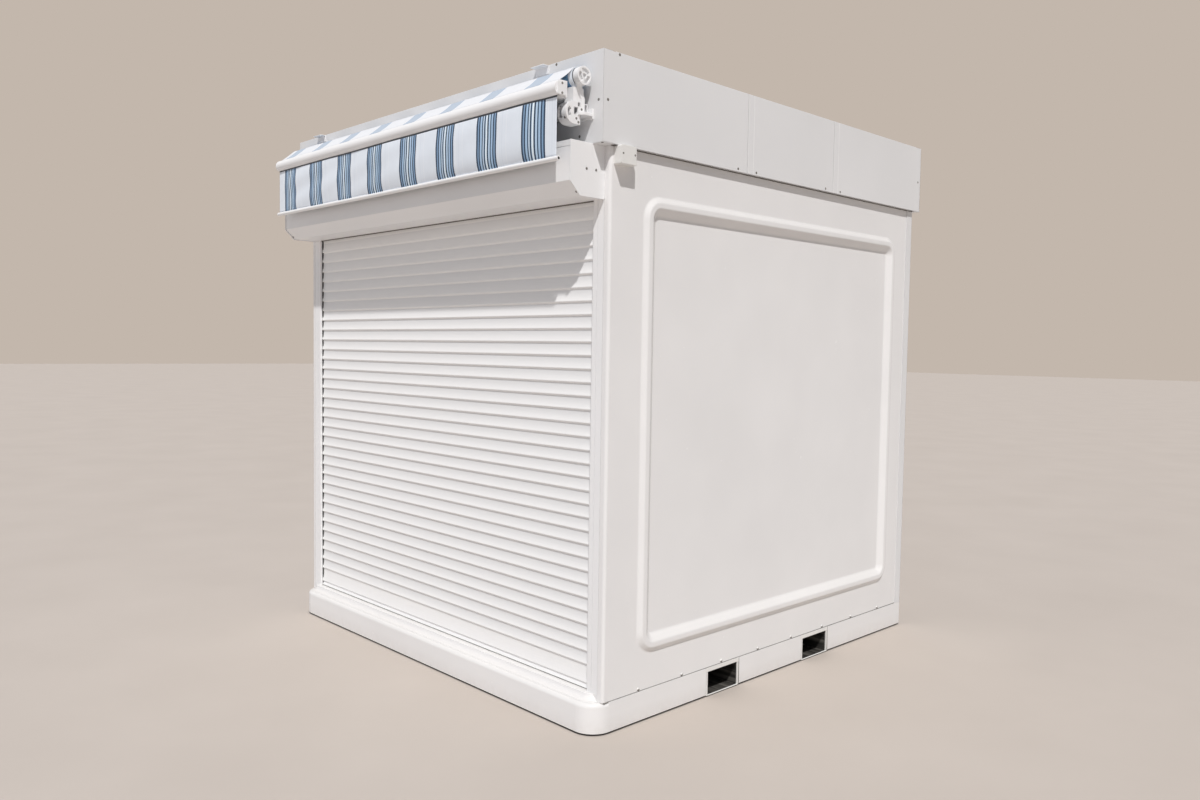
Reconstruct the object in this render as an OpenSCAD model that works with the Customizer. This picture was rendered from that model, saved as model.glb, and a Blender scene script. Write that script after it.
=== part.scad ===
// Beach hut kiosk: a moulded, fork-liftable hut with a full-width roller shutter,
// a flat roof behind a sheet-metal fascia and a retracted folding-arm awning.
// Millimetres. X runs to the right, Y to the back, Z up; the front faces -Y.
// The origin lies on the ground, under the middle of the base.

/* [Base] */
// Width of the base across the front
base_w = 2300; // [1900:10:3000]
// Depth of the base from front to back
base_d = 2270; // [1900:10:3000]
// Height of the base above the ground
base_h = 123; // [115:1:160]
// Radius of the two front corners, seen from above
base_corner_r = 90; // [70:1:140]
// Radius along the top edge of the front
base_edge_r = 16; // [4:1:24]
// Height of the shadow gap along the foot of the base
base_gap_h = 5; // [3:1:10]
// Depth of the shadow gap along the foot of the base
base_gap_d = 22; // [6:1:26]
// Rise of the shutter sill above the base
sill_rise = 26; // [15:1:40]
// Thickness of the sill at its toe
sill_lip = 1; // [0.5:0.5:3]
// Thickness of the floor boards
floor_t = 18; // [12:1:24]

/* [Fork pockets] */
// Clear width of each fork pocket
pocket_w = 200; // [140:1:240]
// Thickness of the base over a fork pocket
pocket_roof = 17; // [10:1:30]
// Distance between the centres of the two pockets
pocket_pitch = 694; // [500:1:900]
// Distance of the point midway between the pockets from the front of the base
pocket_mid = 1119; // [900:1:1200]
// Plate thickness of a pocket's bottom
pocket_wall = 6; // [4:1:8]
// Thickness of a pocket's sides
pocket_side = 10; // [6:1:16]
// Width of the seam between a pocket's ends and the base
pocket_seam = 2.5; // [1:0.5:3]

/* [Walls] */
// Thickness of the wall panels
wall_t = 30; // [24:1:40]
// Distance of the wall faces inside the edge of the base
wall_inset = 3; // [2:1:6]
// Distance of the side walls' front edges behind the front of the base
wall_setback = 58; // [46:1:80]
// Radius on the front edge of a side wall
wall_edge_r = 12; // [4:1:14]
// Width of the crest of the moulded bead on the walls, before rounding
bead_crest = 22; // [18:1:30]
// Width of the bead's outer flank
bead_out = 20; // [14:1:30]
// Width of the bead's inner flank
bead_in = 30; // [20:1:40]
// Height of the bead above the wall face
bead_rise = 14; // [8:1:18]
// Depth of the panel inside the bead below the wall face
panel_recess = 9; // [3:1:11]
// Radius on the bead's crest
bead_edge_r = 14; // [6:1:16]
// Radius at the bead's feet
bead_foot_r = 16; // [6:1:20]
// Radius of the bead's corners, at its inner foot
bead_corner_r = 10; // [4:1:40]
// Distance from the side wall's front edge to the bead's centre line
bead_front = 210; // [150:1:300]
// Distance from the back of the base to the bead's centre line
bead_back = 193; // [150:1:300]
// Height of the bead's lower run above the base
bead_low = 176; // [120:1:260]
// Distance of the bead's upper run below the fascia
bead_high = 190; // [120:1:260]
// Leg of the rear corner trims
trim_leg = 50; // [30:1:70]

/* [Fascia and roof] */
// Height of the fascia's underside above the ground
fascia_z = 2198; // [2000:1:2400]
// Height of the fascia
fascia_h = 329; // [250:1:400]
// Overhang of the fascia past the sides of the base
fascia_side = 17; // [10:1:40]
// Overhang of the fascia past the front of the base
fascia_front_out = 3; // [1:1:20]
// Overhang of the fascia past the back of the base
fascia_back_out = 44; // [20:1:60]
// Sheet thickness of the fascia
fascia_t = 2; // [1:0.5:3]
// Height of the side runs' bottom return above their lower edge
fascia_drip = 12; // [4:1:20]
// Depth of the fascia's top return
fascia_return = 45; // [30:1:70]
// Gap between neighbouring fascia panels
fascia_gap = 1.5; // [1:0.5:3]
// Distances of the two side joints behind the front of the base
fascia_joints = [840, 1490]; // [600:1:1700]
// Width of the backing strip behind a fascia joint
joint_strip_w = 50; // [30:1:80]
// Thickness of the roof panel
roof_t = 40; // [30:1:60]
// Depth of the roof surface below the top of the fascia
roof_drop = 87; // [60:1:120]

/* [Roller shutter] */
// Height of one slat
slat_pitch = 51.5; // [40:0.5:60]
// Thickness of a slat
slat_t = 13; // [12:0.5:16]
// Depth of a slat's hollow face behind its nose
slat_scoop = 5; // [4.5:0.5:8]
// Radius of the nose along a slat's lower edge
slat_nose_r = 8; // [4:0.5:9]
// Height of the groove under a slat's nose
slat_groove = 1.5; // [1:0.5:6]
// Height of the bottom bar
bottom_bar_h = 90.5; // [60:0.5:110]
// Height of the bottom bar's foot
bar_foot_h = 18; // [12:1:30]
// Height of the gap between the bottom bar's foot and the sill
bar_gap = 4; // [2:0.5:6]
// Thickness of the bottom bar's keel, which stands in that gap
bar_keel = 4; // [3:0.5:5]
// Distance that the foot's face leans back towards its top
bar_lean = 3; // [1:0.5:4]
// Distance of the slat faces behind the guide faces
curtain_setback = 12; // [8:1:16]
// Clearance between the curtain and the guide's slot on each side
curtain_gap = 2; // [1:0.5:3]
// Width of a guide's face
guide_w = 57; // [45:1:70]
// Depth of a guide
guide_d = 37; // [34:1:50]
// Depth of the guide's slot
guide_slot = 35; // [20:1:40]
// Engagement of the curtain in each slot
curtain_in = 27; // [15:1:30]
// Distance of the groove in a guide's face from the guide's inner edge
guide_line = 23; // [12:1:30]
// Width and depth of the grooves in a guide's face
guide_groove = 1.5; // [1:0.5:5]
// Distance of the shutter box's face in front of the base
box_out = 108; // [80:1:120]
// Height of the shutter box
box_h = 191; // [170:1:230]
// Chamfer along the lower front edge of the shutter box
box_chamfer = 48; // [30:1:70]
// Thickness of the shutter box's end caps
box_cap_t = 4; // [2:1:8]
// Gap between the shutter box and its end caps
box_cap_gap = 2; // [1:0.5:4]
// Rim of the end caps round the shutter box
box_cap_rim = 3; // [2:1:6]
// Height of the lip along the top of the shutter box
box_lip = 20; // [12:1:30]
// Height and depth of the groove under that lip
box_groove = 3; // [2:0.5:5]

/* [Awning] */
// Distance of the roller brackets inside the faces of the side walls
awning_inset = 25; // [20:1:60]
// Distance of the roller's axis in front of the fascia
roller_out = 47; // [45:1:60]
// Depth of the roller's axis below the top of the fascia
roller_drop = 97; // [80:1:120]
// Radius of the cloth wound on the roller
roll_r = 38; // [28:1:42]
// Radius of the roller's axle
axle_r = 12; // [8:1:16]
// Thickness of the roller brackets
bracket_t = 6; // [4:1:10]
// Radius of the discs on the roller's ends
disc_r = 33; // [31:1:40]
// Thickness of the discs on the roller's ends
disc_t = 20; // [10:1:30]
// Depth of the slots in an end disc
disc_groove = 9; // [3:1:12]
// Inner radius of the slots in an end disc
disc_slot_r = 14; // [12:1:17]
// Width of the slots in an end disc
disc_slot_w = 12; // [5:1:12]
// Angle that each of the three slots takes up
disc_slot_turn = 92; // [40:1:100]
// Radius of the socket in the middle of an end disc
disc_socket_r = 8; // [5:1:10]
// Distance of the front rail's axis in front of the fascia
rail_out = 139; // [139:0.5:160]
// Depth of the front rail's axis below the top of the fascia
rail_drop = 155; // [150:0.5:170]
// Height of the front rail
rail_h = 58; // [48:1:58]
// Length of the front rail past the roller brackets at each end
rail_past = 5; // [0:1:20]
// Thickness of the rail's end caps
rail_cap_t = 4; // [2:1:6]
// Height of the rail's end caps
rail_cap_h = 47; // [40:1:50]
// Depth of the rail's end caps from front to back
rail_cap_d = 37; // [30:1:44]
// Radius on the corners of the rail's end caps
rail_cap_r = 5; // [2:1:12]
// Distance of the cloth's edges inside the roller brackets
roll_short = 4; // [3:1:20]
// Thickness of the awning cloth
cloth_t = 2; // [1:0.5:3]
// Distance of the valance's groove in front of the rail's axis
valance_front = 11; // [8:1:16]
// Width of the valance's groove
valance_groove = 5; // [4:0.5:6]
// Depth of the groove's top below the rail's axis
valance_top = 8; // [4:1:10]
// Drop of the hem bar below the rail's axis
valance_drop = 245.5; // [150:0.5:280]
// Radius of the bar in the valance's hem
hem_r = 9; // [6:0.5:12]
// Side of the square torsion bar
torsion_w = 36; // [30:1:40]
// Wall of the torsion bar
torsion_wall = 3; // [2:1:5]
// Radius on the edges of an arm
arm_edge_r = 8; // [3:1:9]
// Height of an arm
arm_h = 38; // [28:1:40]
// Thickness of an arm
arm_t = 28; // [20:1:30]
// Distance of a folded rear arm's middle in front of the roller's axis
arm_behind = 15; // [12:1:17]
// Gap between the two folded arms
arm_gap = 5; // [4:0.5:5]
// Length of a rear arm from its root to its elbow
arm_len = 740; // [500:10:800]
// Distance of a front arm's end inside the rear arm's root
front_arm_short = 40; // [30:1:120]
// Radius of an elbow's knuckle
knuckle_r = 16; // [12:1:17]
// Length of the neck between a knuckle and its arm
knuckle_neck = 4; // [2:1:8]
// Thickness of an elbow's ears
ear_t = 8; // [6:1:10]
// Length of the foot that joins a front arm to the front rail
arm_foot = 60; // [40:1:90]
// Distance of an arm's root in front of the wall bracket's back plate
root_out = 20; // [15:1:24]
// Depth of the wall brackets' shelves below the rail's axis
shelf_drop = 69; // [60:1:74]
// Width of a wall bracket
shelf_w = 78; // [60:1:100]
// Reach of a wall bracket's shelf in front of the fascia
shelf_out = 58; // [50:1:64]
// Radius on the front corners of a wall bracket's shelf
shelf_corner_r = 24; // [10:1:28]
// Height of a wall bracket's back plate above and below its shelf
plate_rise = 18; // [14:1:34]
// Thickness of a wall bracket's shelf
shelf_t = 10; // [6:1:12]
// Height of a roller bracket's foot
bracket_foot_h = 20; // [14:1:28]
// Width of a roller bracket's neck
bracket_neck = 18; // [12:1:24]
// Outer radius of a shoulder casting's hook
hook_r = 40; // [38:1:46]
// Thickness of a shoulder casting
shoulder_w = 48; // [40:1:56]
// Height of a shoulder casting's neck under the arm's root
shoulder_neck = 20; // [12:1:26]
// Inner radius of the curved slot in a shoulder casting
hook_slot_r = 17; // [14:1:20]
// Width of the curved slot in a shoulder casting
hook_slot_w = 13; // [6:1:14]
// Angle that the curved slot takes up
hook_slot_turn = 80; // [50:1:100]
// Distance of a shoulder casting from the inner end of its wall bracket
shoulder_in = 9; // [4:1:16]
// Reach of a shoulder casting's foot under the shelf
shoulder_foot = 12; // [8:1:30]
// Width of the window in the front of a shoulder casting
window_w = 18; // [8:1:24]
// Height of that window
window_h = 40; // [20:1:44]
// Depth of that window
window_d = 18; // [12:1:20]
// Distance of that window from the casting's inner side
window_in = 6; // [4:1:10]
// Running clearance between curved awning pieces
awning_gap = 0.3; // [0.2:0.1:0.5]

/* [Fittings] */
// Width of a cleat on the fascia's top edge
cleat_w = 75; // [60:1:120]
// Reach of a cleat in front of the fascia
cleat_out = 30; // [20:1:70]
// Sheet thickness of a cleat
cleat_t = 3; // [2:1:5]
// Height of a cleat's upright leg
cleat_drop = 31; // [20:1:40]
// Distances of the left and the right cleat inside the roller brackets
cleat_in = [172, 262]; // [150:1:400]
// Size of the switch box
switch_size = [42, 77, 68]; // [30:1:90]
// Radius on the edges of the switch box
switch_edge_r = 4; // [2:1:8]
// Distance of the switch box behind the side wall's front edge
switch_back = 16; // [10:1:60]

/* [Hidden] */
$fn = 64;

// Colours of the finishes
gel_coat = "#f2f1ef";
powder_coat = "#f4f4f3";
boards = "#b98e5c";
stripe_cloth = "#dfe6f0";

// Faces of the base and the walls
side_x = base_w / 2;
front_y = -base_d / 2;
back_y = base_d / 2;
wall_x = side_x - wall_inset;
wall_in_x = wall_x - wall_t;
wall_y0 = front_y + wall_setback;
wall_y1 = back_y - wall_inset;
back_in_y = wall_y1 - wall_t;

// Fork pockets
pocket_h = base_h - pocket_wall - pocket_roof;
pocket_outer = pocket_w + 2 * pocket_side;
pocket_front_y = front_y + pocket_mid - pocket_pitch / 2;
pocket_rear_y = front_y + pocket_mid + pocket_pitch / 2;

// Facets in each drawn arc
arc_steps = 6;

// Bead: outlines of both flanks, corner radius on the centre line, root in the wall
outer_flank = flank(bead_out, bead_rise);
inner_flank = flank(bead_in, bead_rise + panel_recess);
bead_mid_r = bead_corner_r + foot_x(inner_flank);
bead_root = -panel_recess - bead_rise;

// Fascia and roof
fascia_x = side_x + fascia_side;
fascia_y0 = front_y - fascia_front_out;
fascia_y1 = back_y + fascia_back_out;
fascia_top = fascia_z + fascia_h;
eaves_z = fascia_top - roof_drop - roof_t;

// Roller shutter
sill_z = base_h + sill_rise;
guide_y1 = wall_y0 + guide_d;
guide_in_x = wall_in_x - guide_w;
curtain_y = wall_y0 + curtain_setback;
curtain_half = guide_in_x + curtain_in;
box_y0 = front_y - box_out;
box_z0 = fascia_z - box_h;
slats_z0 = sill_z + bottom_bar_h;
slat_count = floor((box_z0 - slats_z0) / slat_pitch);

// Awning
awning_half = wall_in_x - awning_inset;
cloth_half = awning_half - roll_short;
roller_y = fascia_y0 - roller_out;
roller_z = fascia_top - roller_drop;
rail_y = fascia_y0 - rail_out;
rail_z = fascia_top - rail_drop;
rail_r = rail_h / 2;
rail_half = awning_half + rail_past;
hem_y = rail_y - valance_front;
hem_z = rail_z - valance_drop;
hem_half = rail_half + rail_cap_t;
shelf_z = rail_z - shelf_drop;
shelf_x1 = awning_half + bracket_t + disc_t;
shelf_x0 = shelf_x1 - shelf_w;
shelf_y0 = fascia_y0 - shelf_out;
plate_y = fascia_y0 - bracket_t;
rear_arm_y = roller_y - arm_behind;
front_arm_y = rear_arm_y - arm_t - arm_gap;
arm_z0 = rail_z - arm_h / 2;
root_y0 = rear_arm_y - arm_t / 2;
root_y1 = plate_y - root_out;
root_z0 = shelf_z + torsion_w;
elbow_x = shelf_x0 - arm_len;
elbow_y = (rear_arm_y + front_arm_y) / 2;
front_arm_x = shelf_x0 - front_arm_short;

// Points of an arc round centre, between two angles
function arc(centre, r, from, to) =
    [for (i = [0 : arc_steps]) let (a = from + (to - from) * i / arc_steps) centre + r * [cos(a), sin(a)]];

// Outline of one flank of the bead, from its crest to its foot, with a radius at either end
function flank(w, drop) = let (
    slope = atan(drop / w),
    top_x = bead_crest / 2 - bead_edge_r * tan(slope / 2),
    foot_x = bead_crest / 2 + w + bead_foot_r * tan(slope / 2)
) concat(
    arc([top_x, bead_rise - bead_edge_r], bead_edge_r, 90, 90 - slope),
    arc([foot_x, bead_rise - drop + bead_foot_r], bead_foot_r, 270 - slope, 270)
);

// Distance of a flank's foot from the bead's centre line
function foot_x(points) = points[len(points) - 1][0];

module on_left() {
    mirror([1, 0, 0]) children();
}

// Extrudes a Y-Z profile along X, from x0 to x1
module along_x(x0, x1) {
    translate([x0, 0, 0]) rotate([90, 0, 90]) linear_extrude(x1 - x0) children();
}

// Box between two corners
module block(low, high) {
    translate(low) cube(high - low);
}

// Section of the base's front edge: a strip with its outer top corner rounded over a shadow gap
module base_edge_profile(depth) {
    difference() {
        square([depth, base_h]);
        translate([depth - base_gap_d, -1]) square([base_gap_d + 1, base_gap_h + 1]);
        translate([depth - base_edge_r, base_h - base_edge_r]) difference() {
            square(base_edge_r + 1);
            circle(base_edge_r);
        }
    }
}

module base_front() {
    straight_x = side_x - base_corner_r;
    end_y = pocket_front_y - pocket_outer / 2;
    color(gel_coat) {
        along_x(-straight_x, straight_x)
            translate([end_y, 0]) mirror([1, 0]) base_edge_profile(end_y - front_y);
        for (s = [0, 1]) mirror([s, 0, 0]) {
            translate([straight_x, front_y + base_corner_r, 0]) rotate([0, 0, -90])
                rotate_extrude(angle = 90) base_edge_profile(base_corner_r);
            block([straight_x, front_y + base_corner_r, 0], [side_x - base_gap_d, end_y, base_gap_h]);
            block([straight_x, front_y + base_corner_r, base_gap_h], [side_x, end_y, base_h]);
        }
    }
}

// Stretch of the base between y0 and y1, undercut along its sides and by back_gap along its back
module base_run(y0, y1, back_gap) {
    block([-side_x + base_gap_d, y0, 0], [side_x - base_gap_d, y1 - back_gap, base_gap_h]);
    block([-side_x, y0, base_gap_h], [side_x, y1, base_h]);
}

module base_middle() {
    color(gel_coat) base_run(pocket_front_y + pocket_outer / 2, pocket_rear_y - pocket_outer / 2, 0);
}

module base_rear() {
    color(gel_coat) base_run(pocket_rear_y + pocket_outer / 2, back_y, base_gap_d);
}

// Tunnel for one fork tine, open at both sides of the hut
module fork_pocket(y) {
    color(gel_coat) difference() {
        block([-side_x, y - pocket_outer / 2, 0], [side_x, y + pocket_outer / 2, base_h]);
        block(
            [-side_x - 1, y - pocket_w / 2, pocket_wall],
            [side_x + 1, y + pocket_w / 2, pocket_wall + pocket_h]);
        for (s = [0, 1], e = [0, 1]) mirror([s, 0, 0]) translate([side_x, y, 0]) mirror([0, e, 0])
            block(
                [-2 * pocket_seam, pocket_outer / 2 - pocket_seam, -1],
                [1, pocket_outer / 2 + 1, base_h - pocket_roof]);
    }
}

module floor_boards() {
    color(boards) block([-wall_in_x, guide_y1, base_h], [wall_in_x, back_in_y, base_h + floor_t]);
}

// Section of the sill in front of the walls, outwards along X from the middle of the base's corner radius
module sill_section() {
    inner = base_corner_r - wall_setback;
    toe = base_corner_r - base_edge_r;
    polygon(concat(
        [[inner, sill_z], [inner, base_h], [toe, base_h]],
        arc([toe, sill_z], sill_rise - sill_lip, 270, 180)
    ));
}

// Coved threshold under the guides and the closed shutter, carried round the base's front corners
module shutter_sill() {
    straight_x = side_x - base_corner_r;
    centre_y = front_y + base_corner_r;
    color(gel_coat) {
        block([-wall_in_x, wall_y0, base_h], [wall_in_x, guide_y1, sill_z]);
        along_x(-straight_x, straight_x) translate([centre_y, 0]) mirror([1, 0]) sill_section();
        for (s = [0, 1]) mirror([s, 0, 0]) difference() {
            translate([straight_x, centre_y, 0]) rotate([0, 0, -90])
                rotate_extrude(angle = 90) sill_section();
            block([straight_x - 1, wall_y0, base_h - 1], [side_x, centre_y + 1, sill_z + 1]);
        }
    }
}

// Section of the bead, outwards along X: a crest between two flanks, the inner one down to the panel
module bead_section() {
    polygon(concat(
        outer_flank,
        [[foot_x(outer_flank), bead_root], [-foot_x(inner_flank), bead_root]],
        [for (i = [len(inner_flank) - 1 : -1 : 0]) [-inner_flank[i][0], inner_flank[i][1]]]
    ));
}

// Bead round a w by h loop in the X-Y plane, with its face towards +Z
module bead_loop(w, h) {
    r = bead_mid_r;
    for (s = [0, 1]) {
        translate([s * w, h - r, 0]) rotate([90, 0, 0])
            linear_extrude(h - 2 * r) mirror([1 - s, 0]) bead_section();
        translate([r, s * h, 0]) rotate([90, 0, 90])
            linear_extrude(w - 2 * r) mirror([1 - s, 0]) bead_section();
    }
    for (c = [[r, r, 180], [w - r, r, 270], [w - r, h - r, 0], [r, h - r, 90]])
        translate([c[0], c[1], 0]) rotate([0, 0, c[2]])
            rotate_extrude(angle = 90) translate([r, 0]) bead_section();
}

// Rounded rectangle from the origin to w by h
module rounded_rect(w, h, r) {
    translate([r, 0]) square([w - 2 * r, h]);
    translate([0, r]) square([w, h - 2 * r]);
    for (x = [r, w - r], y = [r, h - r]) translate([x, y]) circle(r);
}

// Bead and recessed panel worked into a wall that lies in the X-Y plane, face up at Z = 0
module beaded_panel(x0, x1, y0, y1) {
    difference() {
        children();
        translate([x0, y0, -panel_recess])
            linear_extrude(panel_recess + 1) rounded_rect(x1 - x0, y1 - y0, bead_mid_r);
    }
    translate([x0, y0, 0]) bead_loop(x1 - x0, y1 - y0);
}

// Side wall lying face up: X is the distance behind its front edge, Y the height above the base
module side_wall_flat() {
    length = wall_y1 - wall_y0;
    beaded_panel(bead_front, back_y - bead_back - wall_y0, bead_low, fascia_z - bead_high - base_h)
        translate([0, eaves_z - base_h, 0]) rotate([90, 0, 0]) linear_extrude(eaves_z - base_h) {
            translate([wall_edge_r, -wall_t]) square([length - wall_edge_r, wall_t]);
            translate([0, -wall_t]) square([wall_edge_r, wall_t - wall_edge_r]);
            translate([wall_edge_r, -wall_edge_r]) circle(wall_edge_r);
        }
}

module side_wall() {
    color(gel_coat) translate([wall_x, wall_y0, base_h]) rotate([90, 0, 90]) side_wall_flat();
}

module back_wall() {
    side_gap = bead_back - wall_inset - wall_t;
    width = 2 * wall_in_x;
    color(gel_coat) translate([wall_in_x, wall_y1, base_h]) rotate([90, 0, 180])
        beaded_panel(side_gap, width - side_gap, bead_low, fascia_z - bead_high - base_h)
            block([0, 0, -wall_t], [width, eaves_z - base_h, 0]);
}

// Angle over the joint of a side wall and the back wall, flush with the base
module rear_corner_trim() {
    color(powder_coat) difference() {
        block([side_x - trim_leg, back_y - trim_leg, base_h], [side_x, back_y, fascia_z]);
        block([side_x - trim_leg - 1, back_y - trim_leg - 1, base_h - 1],
            [wall_x, wall_y1, fascia_z + 1]);
    }
}

// Beam over the shutter box that carries the front edge of the roof
module front_header() {
    color(gel_coat) block([-wall_in_x, wall_y0, fascia_z], [wall_in_x, wall_y0 + wall_t, eaves_z]);
}

module roof_panel() {
    color(gel_coat) block([-wall_x, wall_y0, eaves_z], [wall_x, wall_y1, eaves_z + roof_t]);
}

// Folded fascia section: a sheet at 0 with a bottom return of the given depth and height and a top return
module fascia_section(bottom_return, lift) {
    square([fascia_t, fascia_h]);
    translate([0, lift]) square([bottom_return, fascia_t]);
    translate([0, fascia_h - fascia_t]) square([fascia_return, fascia_t]);
}

module fascia_front() {
    color(powder_coat) along_x(-fascia_x, fascia_x)
        translate([fascia_y0, fascia_z]) fascia_section(wall_y0 - fascia_y0, 0);
}

module fascia_back() {
    color(powder_coat) along_x(-fascia_x, fascia_x)
        translate([fascia_y1, fascia_z]) mirror([1, 0]) fascia_section(fascia_y1 - wall_y1, 0);
}

// One side of the fascia: three folded panels in a row, with backing strips behind the joints
module fascia_side_run() {
    edges = [wall_y0, front_y + fascia_joints[0], front_y + fascia_joints[1], wall_y1];
    color(powder_coat) {
        for (i = [0 : 2]) translate([0, edges[i + 1] - (i < 2 ? fascia_gap : 0), 0]) rotate([90, 0, 0])
            linear_extrude(edges[i + 1] - edges[i] - (i < 2 ? fascia_gap : 0))
                translate([fascia_x, fascia_z]) mirror([1, 0])
                    fascia_section(fascia_x - wall_x, fascia_drip);
        block([fascia_x - fascia_t, fascia_y0 + fascia_t, fascia_z + fascia_t],
            [fascia_x, wall_y0, fascia_top - fascia_t]);
        block([fascia_x - fascia_t, wall_y1, fascia_z + fascia_t],
            [fascia_x, fascia_y1 - fascia_t, fascia_top - fascia_t]);
        for (y = [edges[1], edges[2]])
            block([fascia_x - 2 * fascia_t, y - joint_strip_w / 2, fascia_z + fascia_t],
                [fascia_x - fascia_t, y + joint_strip_w / 2, fascia_top - fascia_t]);
    }
}

// Upright channel that the shutter's edge runs in, with a groove in its face and one beside the wall
module shutter_guide() {
    slot_y0 = curtain_y - curtain_gap;
    slot_y1 = curtain_y + slat_t + curtain_gap;
    color(powder_coat) difference() {
        block([guide_in_x, wall_y0, sill_z], [wall_in_x, guide_y1, box_z0]);
        block([guide_in_x - 1, slot_y0, sill_z - 1], [guide_in_x + guide_slot, slot_y1, box_z0 + 1]);
        for (x = [guide_in_x + guide_line, wall_in_x - guide_groove])
            block([x, wall_y0 - 1, sill_z - 1], [x + guide_groove, wall_y0 + guide_groove, box_z0 + 1]);
    }
}

// Section of a slat h high: a groove at its foot, a round nose and a hollow face that leans back above it
module slat_section(h) {
    nose_z = slat_groove + slat_nose_r;
    rise = h - nose_z;
    face_r = (pow(rise, 2) + pow(slat_scoop, 2)) / (2 * slat_scoop);
    polygon(concat(
        arc([slat_scoop - face_r, h], face_r, 0, -asin(rise / face_r)),
        arc([slat_nose_r, nose_z], slat_nose_r, 180 + 90 / arc_steps, 270),
        [[slat_t, slat_groove], [slat_t, h]]
    ));
}

// Spine behind the hollow faces of a stretch of the curtain h high
module slat_spine(h) {
    translate([slat_scoop, 0]) square([slat_t - slat_scoop, h]);
}

module shutter_curtain() {
    color(powder_coat) along_x(-curtain_half, curtain_half) translate([curtain_y, slats_z0]) {
        for (i = [0 : slat_count - 1]) translate([0, i * slat_pitch]) slat_section(slat_pitch);
        slat_spine(box_z0 - slats_z0);
    }
}

// Bar along the foot of the curtain: a keel in a gap, a leaning foot and a taller hollow face above it
module shutter_bottom_bar() {
    color(powder_coat) along_x(-curtain_half, curtain_half) translate([curtain_y, sill_z]) {
        polygon([[0, bar_gap], [slat_t, bar_gap], [slat_t, bar_foot_h], [bar_lean, bar_foot_h]]);
        translate([0, bar_foot_h]) slat_section(bottom_bar_h - bar_foot_h);
        translate([0, bar_gap]) slat_spine(bottom_bar_h - bar_gap);
        translate([slat_t - bar_keel, 0]) square([bar_keel, bar_foot_h]);
    }
}

// Section of the box that the shutter rolls up into
module shutter_box_section() {
    polygon([
        [box_y0, fascia_z],
        [box_y0, box_z0 + box_chamfer],
        [box_y0 + box_chamfer, box_z0],
        [guide_y1, box_z0],
        [guide_y1, fascia_z],
    ]);
}

module shutter_box() {
    half = wall_in_x - box_cap_t - box_cap_gap;
    groove_z = fascia_z - box_lip;
    color(powder_coat) difference() {
        along_x(-half, half) shutter_box_section();
        block([-half - 1, box_y0 - 1, groove_z - box_groove], [half + 1, box_y0 + box_groove, groove_z]);
    }
}

// End cap of the box, with a rim that stands round the box's front and underside
module shutter_box_end() {
    rim_y1 = wall_y0 - box_cap_rim;
    color(powder_coat) along_x(wall_in_x - box_cap_t, wall_in_x) {
        shutter_box_section();
        polygon([
            [box_y0 - box_cap_rim, fascia_z],
            [box_y0 - box_cap_rim, box_z0 + box_chamfer - box_cap_rim],
            [box_y0 + box_chamfer - box_cap_rim, box_z0 - box_cap_rim],
            [rim_y1, box_z0 - box_cap_rim],
            [rim_y1, fascia_z],
        ]);
    }
}

// Square tube on the wall brackets that ties the two ends of the awning together
module torsion_bar() {
    color(powder_coat) difference() {
        block([-awning_half, plate_y - torsion_w, shelf_z], [awning_half, plate_y, shelf_z + torsion_w]);
        block([-awning_half - 1, plate_y - torsion_w + torsion_wall, shelf_z + torsion_wall],
            [awning_half + 1, plate_y - torsion_wall, shelf_z + torsion_w - torsion_wall]);
    }
}

// Bracket bolted to the fascia: a back plate and a shelf with rounded front corners
module wall_bracket() {
    depth = shelf_out - bracket_t;
    color(powder_coat) {
        block([shelf_x0, plate_y, shelf_z - plate_rise], [shelf_x1, fascia_y0, shelf_z + plate_rise]);
        translate([shelf_x0, plate_y - depth, shelf_z - shelf_t]) linear_extrude(shelf_t) {
            translate([shelf_corner_r, 0]) square([shelf_w - 2 * shelf_corner_r, depth]);
            translate([0, shelf_corner_r]) square([shelf_w, depth - shelf_corner_r]);
            for (x = [shelf_corner_r, shelf_w - shelf_corner_r])
                translate([x, shelf_corner_r]) circle(shelf_corner_r);
        }
    }
}

// Side plate that stands on the shelf and leans forward to the roller, with a slotted disc on its outside
module roller_bracket() {
    x0 = awning_half;
    x1 = awning_half + bracket_t;
    foot_z = shelf_z + bracket_foot_h;
    color(powder_coat) {
        along_x(x0, x1) {
            translate([roller_y, roller_z]) circle(disc_r);
            polygon([
                [shelf_y0, shelf_z],
                [root_y1, shelf_z],
                [root_y1, arm_z0],
                [roller_y, roller_z - disc_r / 2],
                [roller_y - disc_r, roller_z],
                [root_y1 - bracket_neck, arm_z0],
                [root_y1 - bracket_neck, foot_z],
                [shelf_y0, foot_z],
            ]);
        }
        translate([x1, roller_y, roller_z]) rotate([0, 90, 0]) difference() {
            cylinder(r = disc_r, h = disc_t);
            translate([0, 0, disc_t - disc_groove]) {
                cylinder(r = disc_socket_r, h = disc_groove + 1);
                for (turn = [0 : 120 : 240]) rotate([0, 0, turn]) rotate_extrude(angle = disc_slot_turn)
                    translate([disc_slot_r, 0]) square([disc_slot_w, disc_groove + 1]);
            }
        }
    }
}

// Cloth wound on its tube, with an axle stub at each end
module cloth_roll() {
    color(stripe_cloth) translate([-awning_half, roller_y, roller_z]) rotate([0, 90, 0]) {
        cylinder(r = axle_r, h = 2 * awning_half);
        translate([0, 0, roll_short]) cylinder(r = roll_r, h = 2 * cloth_half);
    }
}

// Stretch of cloth from the roller's top down to the front rail
module awning_cloth() {
    radius = roll_r + awning_gap + cloth_t / 2;
    foot = [rail_y, rail_z + rail_r + awning_gap + cloth_t / 2];
    to_roller = [roller_y, roller_z] - foot;
    slope = atan2(to_roller[1], to_roller[0]) + asin(radius / norm(to_roller));
    color(stripe_cloth) along_x(-cloth_half, cloth_half) translate(foot) rotate(slope)
        translate([0, -cloth_t / 2]) square([sqrt(pow(norm(to_roller), 2) - pow(radius, 2)), cloth_t]);
}

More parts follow.
